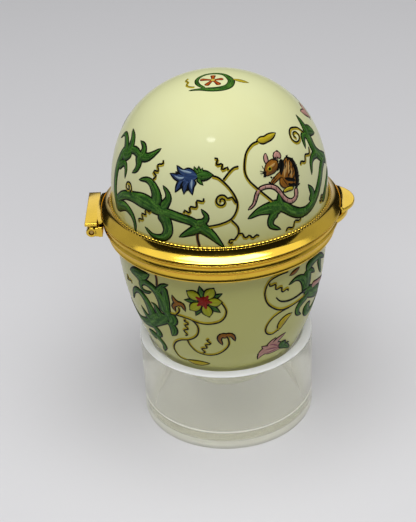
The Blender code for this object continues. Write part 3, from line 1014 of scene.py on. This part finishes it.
def yellow_stems(brush):
    tendril(brush, [(27, 18.8), (22, 18.5), (17, 17.2), (14.5, 15), (14.5, 13.5), (16, 12.3),
                    (18.5, 11.2), (22, 9.8), (27.5, 7.6)])
    filled(brush, OCHRE, [(27, 18.9), (31.5, 18.7), (36.5, 18.9), (41.4, 19.1)],
           (0.5, 1.1, 0.9, 1.0, 0.7, 0.1))
    tendril(brush, [(-4, 13.8), (0, 13.3), (5, 11.5), (8, 9.5), (8.3, 7.8), (5.3, 5.9), (0, 5),
                    (-6.5, 4.5)])
    tendril(brush, [(2, 13), (5, 14.1), (8, 14.9), (11.2, 15.1)])
    tendril(brush, [(5, 5.6), (8, 4.2), (8.2, 2.8), (6, 1.6)])
    curl(brush, (4.5, 1.2), 0.65, 1.0, 30)
    curl(brush, (0.6, 9.2), 1.25, 1.6, 20, lead=[(8, 8.6), (6, 9.8)])


dome_motifs += [right_branch, yellow_stems]
print("dome motifs:", [motif.__name__ for motif in dome_motifs])

# %% [markdown]
# ### Flowers
#
# The bell flower hangs from its stem with five pointed lobes, and light and ink strokes in it
# give it folds. The blossom is the painter's stock flower, seen from above: pointed sepals,
# petals over them, and a star at the heart.


# %% Bell flower and blossom
def bell_flower(brush):
    leaf(brush, BLUE, [(-12, 13.6), (-15.4, 13.6), (-18.6, 13.5), (-21.4, 13.6), (-23, 13.8)], 2.5, 1)
    for root, bend, tip, width in (((-18, 14), (-21, 14.1), (-24, 15), 1.1),
                                   ((-19, 13.4), (-23, 13.1), (-27.2, 13.5), 1.5),
                                   ((-18.6, 12.9), (-21.6, 11.8), (-23.4, 10.6), 1.4),
                                   ((-17, 12.6), (-18.4, 11.6), (-18.8, 10.5), 1.3),
                                   ((-14.6, 12.9), (-15.2, 11.7), (-14.4, 10.5), 1.3)):
        horn(brush, BLUE, [root, bend, tip], width, 1)
    for points in ([(-19.6, 12.6), (-20.4, 12), (-20.8, 11.2)], [(-16.4, 12.4), (-17, 11.6), (-16.8, 10.9)],
                   [(-21, 13.7), (-23, 13.9), (-24.8, 14)]):
        brush.stroke("ink", points, (0.1, 0.35, 0.3), 5)
    for points in ([(-15.4, 14.2), (-19, 14.3), (-22.4, 14.5)], [(-14.8, 13), (-15, 12.2), (-14.8, 11.3)],
                   [(-19.4, 13.2), (-22, 13), (-25, 13.3)]):
        brush.stroke("sky", points, (0.1, 0.4, 0.3, 0.05), 4)
    leaf(brush, GREEN, [(-13, 13.7), (-10.6, 13.7), (-8, 13.8), (-3.8, 13.9)], 1.5, 1)
    for root, tip in (((-11.8, 14.2), (-14, 15.2)), ((-10.6, 14.3), (-11.4, 15.3)),
                      ((-9.4, 14.2), (-9.4, 15)), ((-11.4, 13.2), (-9, 12.2))):
        horn(brush, GREEN, [root, ((root[0] + tip[0]) / 2 - 0.3, (root[1] + tip[1]) / 2), tip], 0.6, 1,
             ink=0.2)


def blossom(brush, centre, size, petals, petal_colour, heart_colour):
    """A round flower: pointed sepals, petals over them and a star at the heart."""
    scale = math.radians(float(brush.shell.radius(centre[1])))

    def spot(degrees, away):
        angle = math.radians(degrees)
        return (centre[0] + away * math.cos(angle) / scale, centre[1] + away * math.sin(angle))

    step = 360 / petals
    angles = [step * i for i in range(petals)]
    for angle in angles:
        sepal = [spot(angle + step / 2, away * size) for away in (0.3, 0.7, 1.0)]
        horn(brush, GREEN, sepal, 0.42 * size)
    for angle in angles:
        petal = [spot(angle, away * size) for away in (0.1, 0.4, 0.7, 0.97)]
        leaf(brush, petal_colour, petal, 0.56 * size, 1)
    for angle in angles:
        ray = [spot(angle, 0.0), spot(angle, 0.45 * size)]
        brush.stroke(heart_colour, ray, (0.4 * size, 0.3 * size, 0.1 * size), 4)


def back_blossom(brush):
    blossom(brush, (35, 12.6), 3.2, 6, "lime", "red")


dome_motifs.append(bell_flower)
print("dome motifs:", [motif.__name__ for motif in dome_motifs])

# %% [markdown]
# ### The small animal and the crown
#
# A mouse-like animal sits on the right-hand leaf: tail first, then body, face and paws, each at
# a higher level than the one it covers. Short ink hairs are strokes of their own. The flower in
# its wreath on top is drawn flat, because azimuth means nothing at the pole.


# %% Small animal
def small_animal(brush):
    """A plain mouse-like animal that sits up on a leaf, with its tail curled below it."""
    tail = [(42.4, 8.3), (41.8, 6.9), (38.8, 6.4), (35.8, 6.9), (33.5, 7.9), (32, 8.9), (30.2, 9.8),
            (27.5, 10.4), (24.2, 10.6), (21, 10.4), (19, 9.6), (17.8, 8.6), (16.5, 7.8), (14.2, 7.2)]
    filled(brush, PINK, tail, (0.6, 0.6, 0.5, 0.5, 0.4, 0.1), 0, ink=0.28)
    for place in tail[1:-2]:
        brush.stroke("ink", [(place[0], place[1] - 0.25), (place[0], place[1] + 0.25)], (0.1, 0.1), 3)
    body = [(41, 14.2), (41.2, 13.2), (40.6, 12), (39.9, 10.9), (39.4, 9.8), (38.8, 8.9)]
    filled(brush, BROWN, body, (1.2, 2.9, 3.7, 4.0, 3.6, 2.0), 1)
    for points in ([(40.4, 14), (39.4, 12.8), (38, 11.8)], [(42, 13.6), (41, 12.4), (39.4, 11.2)],
                   [(42.6, 12.2), (41.4, 11.2), (40.6, 10.6)], [(38.4, 13.2), (37.4, 12), (36.4, 11.2)]):
        brush.stroke("tan", points, (0.1, 0.5, 0.1), 4)
    back = [(41.4, 14.5), (44.2, 13.6), (45.3, 12.2), (45.1, 10.8), (44.2, 9.4), (42.4, 8.3)]
    brush.stroke("ink", back, (0.3, 0.6, 0.8, 0.9, 0.9, 0.5), 5)
    for spot in ((42.6, 13.2), (43.4, 12.3), (42.9, 11.4), (43.2, 10.6), (41.6, 12.4), (41.2, 11.6),
                 (42, 10.4), (39.8, 13.6), (38.8, 12.9), (39.6, 11.3)):
        brush.stroke("ink", [(spot[0] - 0.9, spot[1] - 0.35), spot, (spot[0] + 0.7, spot[1] + 0.45)],
                     (0.06, 0.26, 0.05), 5)
    for place in back[:-1]:
        for drop in (0.0, -0.65):
            root = (place[0], place[1] + drop)
            brush.stroke("ink", [root, (root[0] + 1.9, root[1] + 0.15)], (0.45, 0.05), 5)
    for points, widths in (([(37.6, 14.5), (36.8, 13.4), (35.4, 12.4), (34.8, 11.8)], (0.7, 1.2, 0.9, 0.2)),
                           ([(36.6, 11), (38.6, 10.6), (41, 10.2), (43, 9.8)], (0.2, 0.7, 0.6, 0.6)),
                           ([(38, 9.8), (40, 9.3), (42.4, 9.2)], (0.4, 0.6, 0.8))):
        brush.stroke("ink", points, widths, 5)
    filled(brush, BROWN, [(34.6, 11.3), (34.2, 10.6), (35.2, 9.9), (37, 9.4)], (0.4, 0.9, 0.9, 0.3), 3,
           ink=0.16)
    filled(brush, OCHRE, [(34.4, 8.8), (37.4, 8.9), (40.4, 8.7)], (0.4, 0.6, 0.5), 3, ink=0.22)
    for points in ([(35.4, 12.2), (32, 11.8), (29.6, 11.4), (27.8, 11)],
                   [(34.4, 11.8), (31.2, 11.2), (29, 10.8)]):
        filled(brush, BROWN, points, (0.5, 0.35, 0.2), 1, ink=0.17)
    for ear, widths in (([(28.3, 14.4), (28.1, 15.4), (28.8, 16.2)], (0.4, 0.6, 0.3)),
                        ([(34, 14.5), (34.6, 15.3), (36.4, 15.7), (37.4, 14.8)], (0.3, 0.7, 0.8, 0.6))):
        filled(brush, PINK, ear, widths, 1, ink=0.22)
    filled(brush, BROWN, [(34.4, 14.3), (31.8, 14), (29, 13.5), (26.8, 13), (25.4, 12.6)],
           (1.3, 1.9, 2.1, 1.5, 0.5), 2, ink=0.2)
    for spot in ((34, 14.9), (33, 15), (35, 14.3), (35.4, 13.8), (34.8, 13.3), (33.8, 13)):
        brush.stroke("ink", [(spot[0] - 0.8, spot[1] - 0.3), (spot[0] + 0.8, spot[1] + 0.3)],
                     (0.1, 0.4, 0.08), 6)
    brush.stroke("tan", [(33, 14.2), (31, 13.9), (29.4, 13.9)], (0.1, 0.5, 0.2), 6)
    dot(brush, OCHRE, (28.8, 13.5), 0.9, 2)
    dot(brush, "ink", (28.8, 13.5), 0.55, 3)
    dot(brush, "ink", (25.2, 12.6), 0.6, 3)
    for tip in ((24.6, 14.4), (22.8, 13.6), (22.6, 13.1), (24, 12.4)):
        brush.stroke("ink", [(26.2, 13), tip], (0.24, 0.08), 6)
    for paw in ((28.2, 12.1), (29.6, 11.9), (26.6, 11.3)):
        brush.stroke("ink", [(paw[0] + 0.8, paw[1] - 0.3), paw], (0.3, 0.35), 5)


def crown_motif(brush):
    """The flower in its wreath on top of the dome, in millimetres east and north of the pole."""
    wreath = [(-4.8, -4.0), (-2.8, -4.3), (-0.6, -4.7), (1.2, -4.5), (2.5, -3.6), (3.0, -1.9),
              (2.6, -0.5), (1.7, 0.9), (0.2, 1.5), (-1.6, 1.3), (-2.9, 0.2), (-3.4, -1.3),
              (-3.0, -2.8), (-2.0, -4.0)]
    filled(brush, GREEN, wreath, (0.1, 0.4, 0.9, 1.1, 1.2, 1.1, 1.0, 0.7, 0.5, 0.4, 0.4, 0.5, 0.5, 0.3),
           0, ink=0.16, crown=True)
    leaf(brush, OCHRE, [(3.3, -1.0), (4.3, -1.2), (5.3, -1.4), (6.2, -1.5)], 0.9, 0, ink=0.12, crown=True)
    heart = (-0.4, -1.5)
    for tip in ((-2.7, -0.8), (1.5, -1.1), (-0.3, 0.6), (-1.7, -3.3), (0.8, -3.3)):
        middle = ((heart[0] + tip[0]) / 2, (heart[1] + tip[1]) / 2)
        filled(brush, "red", [heart, middle, tip], (0.4, 0.6, 1.1), 0, ink=0.07, crown=True)
        brush.stroke("rust", [heart, middle, tip], (0.3, 0.25, 0.5), 2, 0.0, True)
    brush.stroke("yellow", [(heart[0] - 0.4, heart[1]), (heart[0] + 0.4, heart[1])], (0.7, 0.7), 3, 0.0, True)
    tendril(brush, [(-5.0, 1.0), (-5.4, 0.2), (-5.0, -0.8), (-5.3, -1.8), (-4.6, -2.7), (-3.8, -3.1)],
            ink=0.14, touch=0.5, crown=True)


print("painted once each:", [motif.__name__ for motif in (small_animal, crown_motif)])

# %% [markdown]
# ### The cup
#
# Below the mount the same hand goes on: a mass of hooked leaves on each side, and fine tendrils
# with buds, a star flower and a pink trumpet between them. Here the arc runs downwards.

# %% Cup, left
def cup_leaves_left(brush):
    leaf(brush, GREEN, [(-59, 3.5), (-53, 3), (-48, 2.8), (-42.5, 1.9)], 2.2)
    stem(brush, GREEN, [(-50, 3.4), (-50.4, 4.6)], 2.0)
    horn(brush, GREEN, [(-34.8, 9.8), (-35.4, 7.4), (-38, 5.4), (-42.5, 4.3), (-47, 4.2), (-50.4, 5.2),
                        (-49.4, 6.4), (-46, 6.4), (-42.8, 5.9)], 1.9)
    horn(brush, GREEN, [(-38, 5.2), (-36, 4.2), (-33.6, 3.2), (-30.6, 2.7)], 1.2)
    tendril(brush, [(-37.6, 1.3), (-37.2, 2.6), (-37.6, 4)], BROWN)
    stem(brush, GREEN, [(-33.4, 3.6), (-32.8, 6), (-33.2, 8.6), (-33.6, 11.6)], 1.3)
    leaf(brush, GREEN, [(-35.5, 9.4), (-31.4, 10.2), (-30.4, 11.6), (-33.5, 12.8)], 1.9)
    leaf(brush, GREEN, [(-34.6, 12), (-31.4, 13.2), (-31.4, 14.6), (-33.4, 15.8)], 1.4)
    stem(brush, GREEN, [(-34.5, 11), (-40, 12.2), (-46, 13.6), (-51, 15)], 2.6)
    horn(brush, GREEN, [(-38.5, 11.4), (-40.2, 10), (-41, 9), (-43.2, 8.6)], 1.5)
    horn(brush, GREEN, [(-45, 13.2), (-46, 10.6), (-49, 8.4), (-54, 7.4), (-59, 8.4), (-63.5, 11)], 2.0)
    horn(brush, GREEN, [(-49, 14.2), (-51.4, 13.4), (-53.4, 12.4), (-54.8, 11.6)], 1.5)
    horn(brush, GREEN, [(-49, 14.8), (-56, 15.8), (-62, 16.2), (-68, 15.4), (-73, 13.4)], 2.0)
    leaf(brush, GREEN, [(-50.6, 15.4), (-46.4, 16), (-45, 17.2), (-48, 18.4)], 1.5)
    horn(brush, GREEN, [(-56, 19.4), (-51.4, 18.6), (-47, 19.4), (-45.4, 21.2), (-49.6, 23.4)], 1.9)
    squiggle(brush, [(-67, 7), (-64, 6.4), (-60.5, 7)], waves=2)


def cup_tendrils_left(brush):
    tendril(brush, [(-31.5, 9.8), (-27, 9.6), (-22, 9.8), (-18, 10.3), (-15.4, 12), (-16.8, 14.2),
                    (-21.6, 15.7), (-28, 16.5), (-33, 18), (-36, 20.4), (-34.4, 22.8), (-29, 23.3)])
    leaf(brush, OCHRE, [(-28, 23.2), (-23, 23.4), (-18, 23.3), (-12.8, 23.1)], 1.4)
    squiggle(brush, [(-22, 10.3), (-22, 11.6), (-23, 13), (-24.2, 14.8)], waves=3)
    tendril(brush, [(-23.4, 16), (-22.4, 17.6), (-19, 19.3), (-13, 20), (-7, 19.7), (-2, 18.5),
                    (1.2, 16.8), (1.2, 15), (0, 14)])
    horn(brush, BROWN, [(0.4, 14.1), (-2.4, 13.8), (-4, 14.8), (-2.6, 16.4)], 0.95)
    horn(brush, BROWN, [(-0.2, 14), (2, 13.7), (3.8, 14.2), (4.9, 15.4)], 0.85)
    squiggle(brush, [(-9.8, 15), (-11, 16.6), (-13.6, 17.8), (-15.4, 19.5)], waves=3)
    for tip, bend in (((-28.2, 5), (-27.4, 5.9)), ((-27.5, 8.5), (-28.3, 7.4)),
                      ((-21.7, 7.9), (-23, 6.6))):
        horn(brush, BROWN, [(-25.6, 6.6), bend, tip], 0.8)
    tendril(brush, [(-25.2, 7.4), (-25.3, 8.5), (-27.6, 9.5)])


def star_flower(brush):
    tendril(brush, [(-2.6, 5), (-0.6, 6.2), (0.6, 7.6), (-0.6, 9.2), (-4, 10.3), (-10, 10.8),
                    (-15, 10.6), (-18.4, 10.2)])
    heart = (-10.9, 5.2)
    for tip, width in (((-12.6, 1.9), 1.3), ((-1.6, 3.4), 1.1), ((-20.8, 5.3), 1.1),
                       ((-15.6, 8.6), 1.2), ((-3, 7.6), 1.4)):
        root = ((heart[0] * 2 + tip[0]) / 3, (heart[1] * 2 + tip[1]) / 3)
        middle = ((heart[0] + tip[0] * 2) / 3, (heart[1] + tip[1] * 2) / 3)
        horn(brush, GREEN, [root, middle, tip], width)
    for tip in ((-1.8, 5.3), (-5.6, 2.2), (-19.2, 3.2), (-18.4, 7.4), (-8.7, 8.7)):
        middle = ((heart[0] + tip[0]) / 2, (heart[1] + tip[1]) / 2)
        near = ((heart[0] * 3 + tip[0]) / 4, (heart[1] * 3 + tip[1]) / 4)
        swell = (0.7, 1.5, 1.8, 1.5, 0.25)
        filled(brush, "lime", [near, middle, tip], swell, 1)
        brush.stroke("red", [heart, near, middle], (1.5, 0.9, 0.3), 4)
    brush.stroke("red", [(heart[0] - 2, heart[1]), (heart[0] + 2, heart[1])], (2, 2.4, 2), 4)


cup_motifs = [cup_leaves_left, cup_tendrils_left, star_flower]
print("cup motifs:", [motif.__name__ for motif in cup_motifs])


# %% Cup, right
def cup_right(brush):
    tendril(brush, [(54, 9.6), (45, 10), (38, 10.2), (32, 10), (27, 8.9), (23, 7.2), (21.3, 5),
                    (22.5, 3), (25.4, 1.9), (30, 1.5), (35.5, 1.5)])
    leaf(brush, BROWN, [(36.6, 2.5), (39, 2.3), (41, 2.1), (43.2, 1.8)], 0.7, ink=0.2)
    squiggle(brush, [(24, 2.7), (27.6, 3.9), (31.4, 5), (35.8, 6)], waves=3)
    brush.stroke("ink", [(28, 6.4), (31, 7.7), (36, 8.4), (42, 8.5), (51, 8.1)], (0.25, 0.5, 0.6), 1)
    horn(brush, GREEN, [(51, 8.6), (48.6, 6.2), (45.4, 4.6), (41, 4), (36.6, 4.5)], 2.0)
    stem(brush, GREEN, [(50.4, 8), (50.6, 5.6), (50.4, 3.6)], 2.2)
    horn(brush, GREEN, [(49.6, 3.4), (54, 2.6), (60, 2.6), (66, 3.5), (73, 5.2)], 1.7)
    horn(brush, GREEN, [(51, 4), (54.6, 4.5), (57.8, 5.5)], 1.0)
    horn(brush, GREEN, [(63, 3.4), (64.4, 5), (66.4, 6.6), (69.4, 8)], 1.3)
    stem(brush, GREEN, [(50, 8.6), (54, 9.4), (58, 10.2), (63, 11.2), (70, 12.4)], 2.4)
    horn(brush, GREEN, [(53, 10), (48, 10.8), (45.2, 12), (46, 13.4), (49.4, 14.3)], 1.8)
    horn(brush, GREEN, [(55, 12.6), (56, 14.6), (60, 15.8), (66, 15.4), (73, 13.6)], 2.1)
    horn(brush, PINK, [(57, 8.6), (63, 9.2), (69, 9.8), (79, 11)], 1.1)
    tendril(brush, [(38, 10.3), (32, 10.5), (27, 11.3), (24, 12.7), (23, 14.2), (24.6, 15.4),
                    (28, 15.9), (31, 15.5), (33, 15)])
    leaf(brush, OCHRE, [(32.2, 15.4), (33.4, 13.9), (36.2, 12.8), (40.2, 12.3)], 1.5)


def trumpet_flower(brush):
    leaf(brush, PINK, [(20.8, 21.2), (26, 20.6), (33, 20.8), (41, 21.8)], 3.0, 0)
    for root, bend, tip, width in (((30, 20), (33.4, 18.4), (38.2, 17.4), 1.5),
                                   ((28, 19.8), (28.6, 18.6), (31, 17.6), 1.3),
                                   ((26, 20), (24, 19.4), (22.6, 19), 1.2),
                                   ((25, 21.2), (22.6, 21.6), (21.2, 22.8), 1.3)):
        horn(brush, PINK, [root, bend, tip], width)
    for start, end in (((36, 21), (28, 19)), ((36, 21.3), (26, 20.4)), ((36, 21.6), (27, 21.6))):
        brush.stroke("rose", [start, ((start[0] + end[0]) / 2, start[1] * 0.4 + end[1] * 0.6), end],
                     (0.1, 0.34, 0.3, 0.08), 4)
    horn(brush, GREEN, [(37.4, 20), (40, 21.4), (44, 22.4), (51, 24.4)], 1.5, 1)
    horn(brush, GREEN, [(41, 22), (43.6, 21.4), (45.8, 21.6)], 0.7, 1)


cup_motifs += [cup_right, trumpet_flower]
print("cup motifs:", [motif.__name__ for motif in cup_motifs])

# %% [markdown]
# ### Laying the painting
#
# The front is painted as designed. Round the back the same hand repeats itself in mirror image,
# with a star flower in place of the animal, so that no side of the egg is bare.

# %% Paint both shells
dome_brush = Brush(DOME_SHELL)
cup_brush = Brush(CUP_SHELL)
BACK = 180.0
plan = [
    (dome_brush, [*dome_motifs, small_animal]),
    (dome_brush.turned(BACK, mirror=-1), [*dome_motifs, back_blossom]),
    (dome_brush, [crown_motif]),
    (cup_brush, cup_motifs),
    (cup_brush.turned(BACK, mirror=-1), cup_motifs),
]
for brush, motifs in plan:
    for motif in motifs:
        motif(brush)
print("colours on the dome:", sorted(dome_brush.films), "and on the cup:", sorted(cup_brush.films))

# %% [markdown]
# ### Enamel and its films
#
# Each enamel runs between a deep and a light tone: streaks follow the stroke's own UV map, and
# its middle is lighter than its edges. The green is stippled with ink. The strokes are thin
# sheets until the end, when one Solidify modifier a film gives them their thickness.

# %% Enamel colours
PAINT_THICK = 0.03 * MM
ENAMELS = {
    "ink": ((0.004, 0.004, 0.003), (0.010, 0.010, 0.008)),
    "green": ((0.022, 0.085, 0.012), (0.105, 0.265, 0.035)),
    "ochre": ((0.400, 0.300, 0.012), (0.600, 0.500, 0.040)),
    "brown": ((0.200, 0.075, 0.010), (0.370, 0.160, 0.022)),
    "tan": ((0.450, 0.260, 0.080), (0.560, 0.360, 0.140)),
    "blue": ((0.018, 0.038, 0.110), (0.070, 0.120, 0.240)),
    "sky": ((0.240, 0.330, 0.430), (0.330, 0.430, 0.500)),
    "pink": ((0.440, 0.220, 0.180), (0.600, 0.370, 0.300)),
    "rust": ((0.420, 0.080, 0.010), (0.560, 0.150, 0.020)),
    "rose": ((0.260, 0.090, 0.120), (0.360, 0.150, 0.180)),
    "red": ((0.200, 0.008, 0.005), (0.300, 0.020, 0.008)),
    "yellow": ((0.620, 0.480, 0.060), (0.700, 0.580, 0.110)),
    "lime": ((0.300, 0.320, 0.012), (0.460, 0.480, 0.035)),
}


def enamel_finish(name, deep, light):
    """Streaky enamel: streaks run along the stroke, and its edges stay a little deeper."""
    enamel = Finish(name + "_enamel", deep, Roughness=0.5, Specular_IOR_Level=0.06,
                    Coat_Weight=0.09, Coat_Roughness=0.05)
    stroke_map = enamel.node("ShaderNodeUVMap", {"uv_map": "stroke"})
    stretched = enamel.node("ShaderNodeMapping", {}, {"Vector": stroke_map, "Scale": (0.25, 2.2, 1)})
    streaks = enamel.node("ShaderNodeTexNoise", {}, {"Vector": stretched, "Scale": 1.6, "Detail": 4})
    middle = enamel.node("ShaderNodeSeparateXYZ", {}, {0: stroke_map}, output="Y")
    belly = (1 - enamel.maths("ABSOLUTE", middle - 0.5) * 2).smooth(0.1, 0.9)
    share = streaks.smooth(0.38, 0.68) * (belly * 0.3 + 0.7)
    tone = enamel.mix(share, deep, light)
    if name == "green":
        stipple = enamel.noise(0.22 * MM, detail=1).smooth(0.60, 0.66)
        tone = enamel.mix(stipple * 0.75, tone, ENAMELS["ink"][0])
    enamel.feed("Base Color", tone)
    return enamel.material


PAINTS = {name: enamel_finish(name, *pair) for name, pair in ENAMELS.items()}
print("enamels:", sorted(PAINTS))


# %% Films
def lay_films(brush, prefix, body):
    made = []
    for colour, film in sorted(brush.films.items()):
        bmesh.ops.remove_doubles(film, verts=film.verts, dist=1e-7)
        for edge in film.edges:
            edge.smooth = not edge.is_boundary
        piece = put_in_scene(f"{prefix}_{colour}_paint", film, PAINTS[colour], body)
        wall = piece.modifiers.new("film", "SOLIDIFY")
        wall.thickness = PAINT_THICK
        wall.offset = -1
        made.append(piece)
    return made


films = lay_films(dome_brush, "lid", "lid") + lay_films(cup_brush, "base", "base")
print("paint films:", len(films), "faces:", sum(len(film.data.polygons) for film in films))

# %% [markdown]
# ## Floor and light
#
# The box stands on pale paper under one broad softbox, and a small bare lamp sets a spark on the
# dome. A fill low in front lightens the paper alone, so the shadow stays soft there.
#
# Polished metal shows whatever surrounds it. The room is left dim, and light linking gives the
# brass lamps of its own: one broad light overhead, a short bright strip that the cove mirrors as
# a white band, and cards at the sides and back. The mounts then run from deep brown to white
# across their curves, which an even, bright room would flatten.

# %% Floor
PAPER = (0.618, 0.616, 0.633)


def make_floor():
    work = bmesh.new()
    bmesh.ops.create_grid(work, x_segments=1, y_segments=1, size=3)
    mesh = bpy.data.meshes.new("floor")
    work.to_mesh(mesh)
    work.free()
    paper = Finish("paper", PAPER, Roughness=0.75)
    paper.bump(paper.noise(0.002, detail=4), 0.05, 0.0001)
    mesh.materials.append(paper.material)
    floor = bpy.data.objects.new("floor", mesh)
    bpy.context.scene.collection.objects.link(floor)
    return floor


floor = make_floor()
print("floor:", [round(side, 1) for side in floor.dimensions], "m")


# %% Lights
def lamp(name, shape, place, target, size, watts, reaches=()):
    """An area lamp. Given some pieces to reach, it lights them and nothing else."""
    light = bpy.data.lights.new(name, "AREA")
    light.shape = shape
    light.size, light.size_y = size
    light.energy = watts
    holder = bpy.data.objects.new(name, light)
    bpy.context.scene.collection.objects.link(holder)
    holder.location = place
    aim = Vector(target) - Vector(place)
    holder.rotation_euler = aim.to_track_quat("-Z", "Y").to_euler()
    if reaches:
        group = bpy.data.collections.new(name + "_reaches")
        for piece in reaches:
            group.objects.link(piece)
        holder.light_linking.receiver_collection = group
    return holder


MIDDLE = (0, 0, 0.045)
BRASS = [lid_mount, base_mount, collar, *hinge, *fittings]
softbox = lamp("softbox", "ELLIPSE", (0, -0.14, 0.85), (0, 0, 0), (1.2, 0.9), 9.7)
softbox.visible_glossy = False
lamps = [
    softbox,
    lamp("brass_light", "ELLIPSE", (0, 0.02, 0.80), (0, 0.02, 0), (1.5, 1.05), 4.5, [*BRASS, stand]),
    lamp("strip", "RECTANGLE", (0, -0.2, 0.74), (0, -0.2, 0), (0.6, 0.3), 6.0, BRASS),
    lamp("left_card", "RECTANGLE", (-0.8, 0.25, 0.45), MIDDLE, (0.9, 0.7), 0.9, BRASS),
    lamp("right_card", "RECTANGLE", (0.8, 0.25, 0.45), MIDDLE, (0.9, 0.7), 0.9, BRASS),
    lamp("back_card", "RECTANGLE", (0, 0.95, 0.6), MIDDLE, (1.4, 0.6), 2.6, BRASS),
    lamp("front_fill", "ELLIPSE", (0, -0.42, 0.32), (0, -0.04, 0), (0.5, 0.25), 0.75, [floor]),
    lamp("bare_lamp", "ELLIPSE", (-0.11, -0.42, 1.0), MIDDLE, (0.15, 0.11), 0.3),
]
print("lamps, in watts:", {holder.name: round(holder.data.energy, 2) for holder in lamps})

# %% Room
ROOM = (0.012, 0.012, 0.012)
world = bpy.data.worlds.new("room")
bpy.context.scene.world = world
world.use_nodes = True
world.node_tree.nodes["Background"].inputs["Color"].default_value = (*ROOM, 1)
bpy.context.scene.view_settings.view_transform = "Standard"
print("room:", ROOM, "view transform:", bpy.context.scene.view_settings.view_transform)
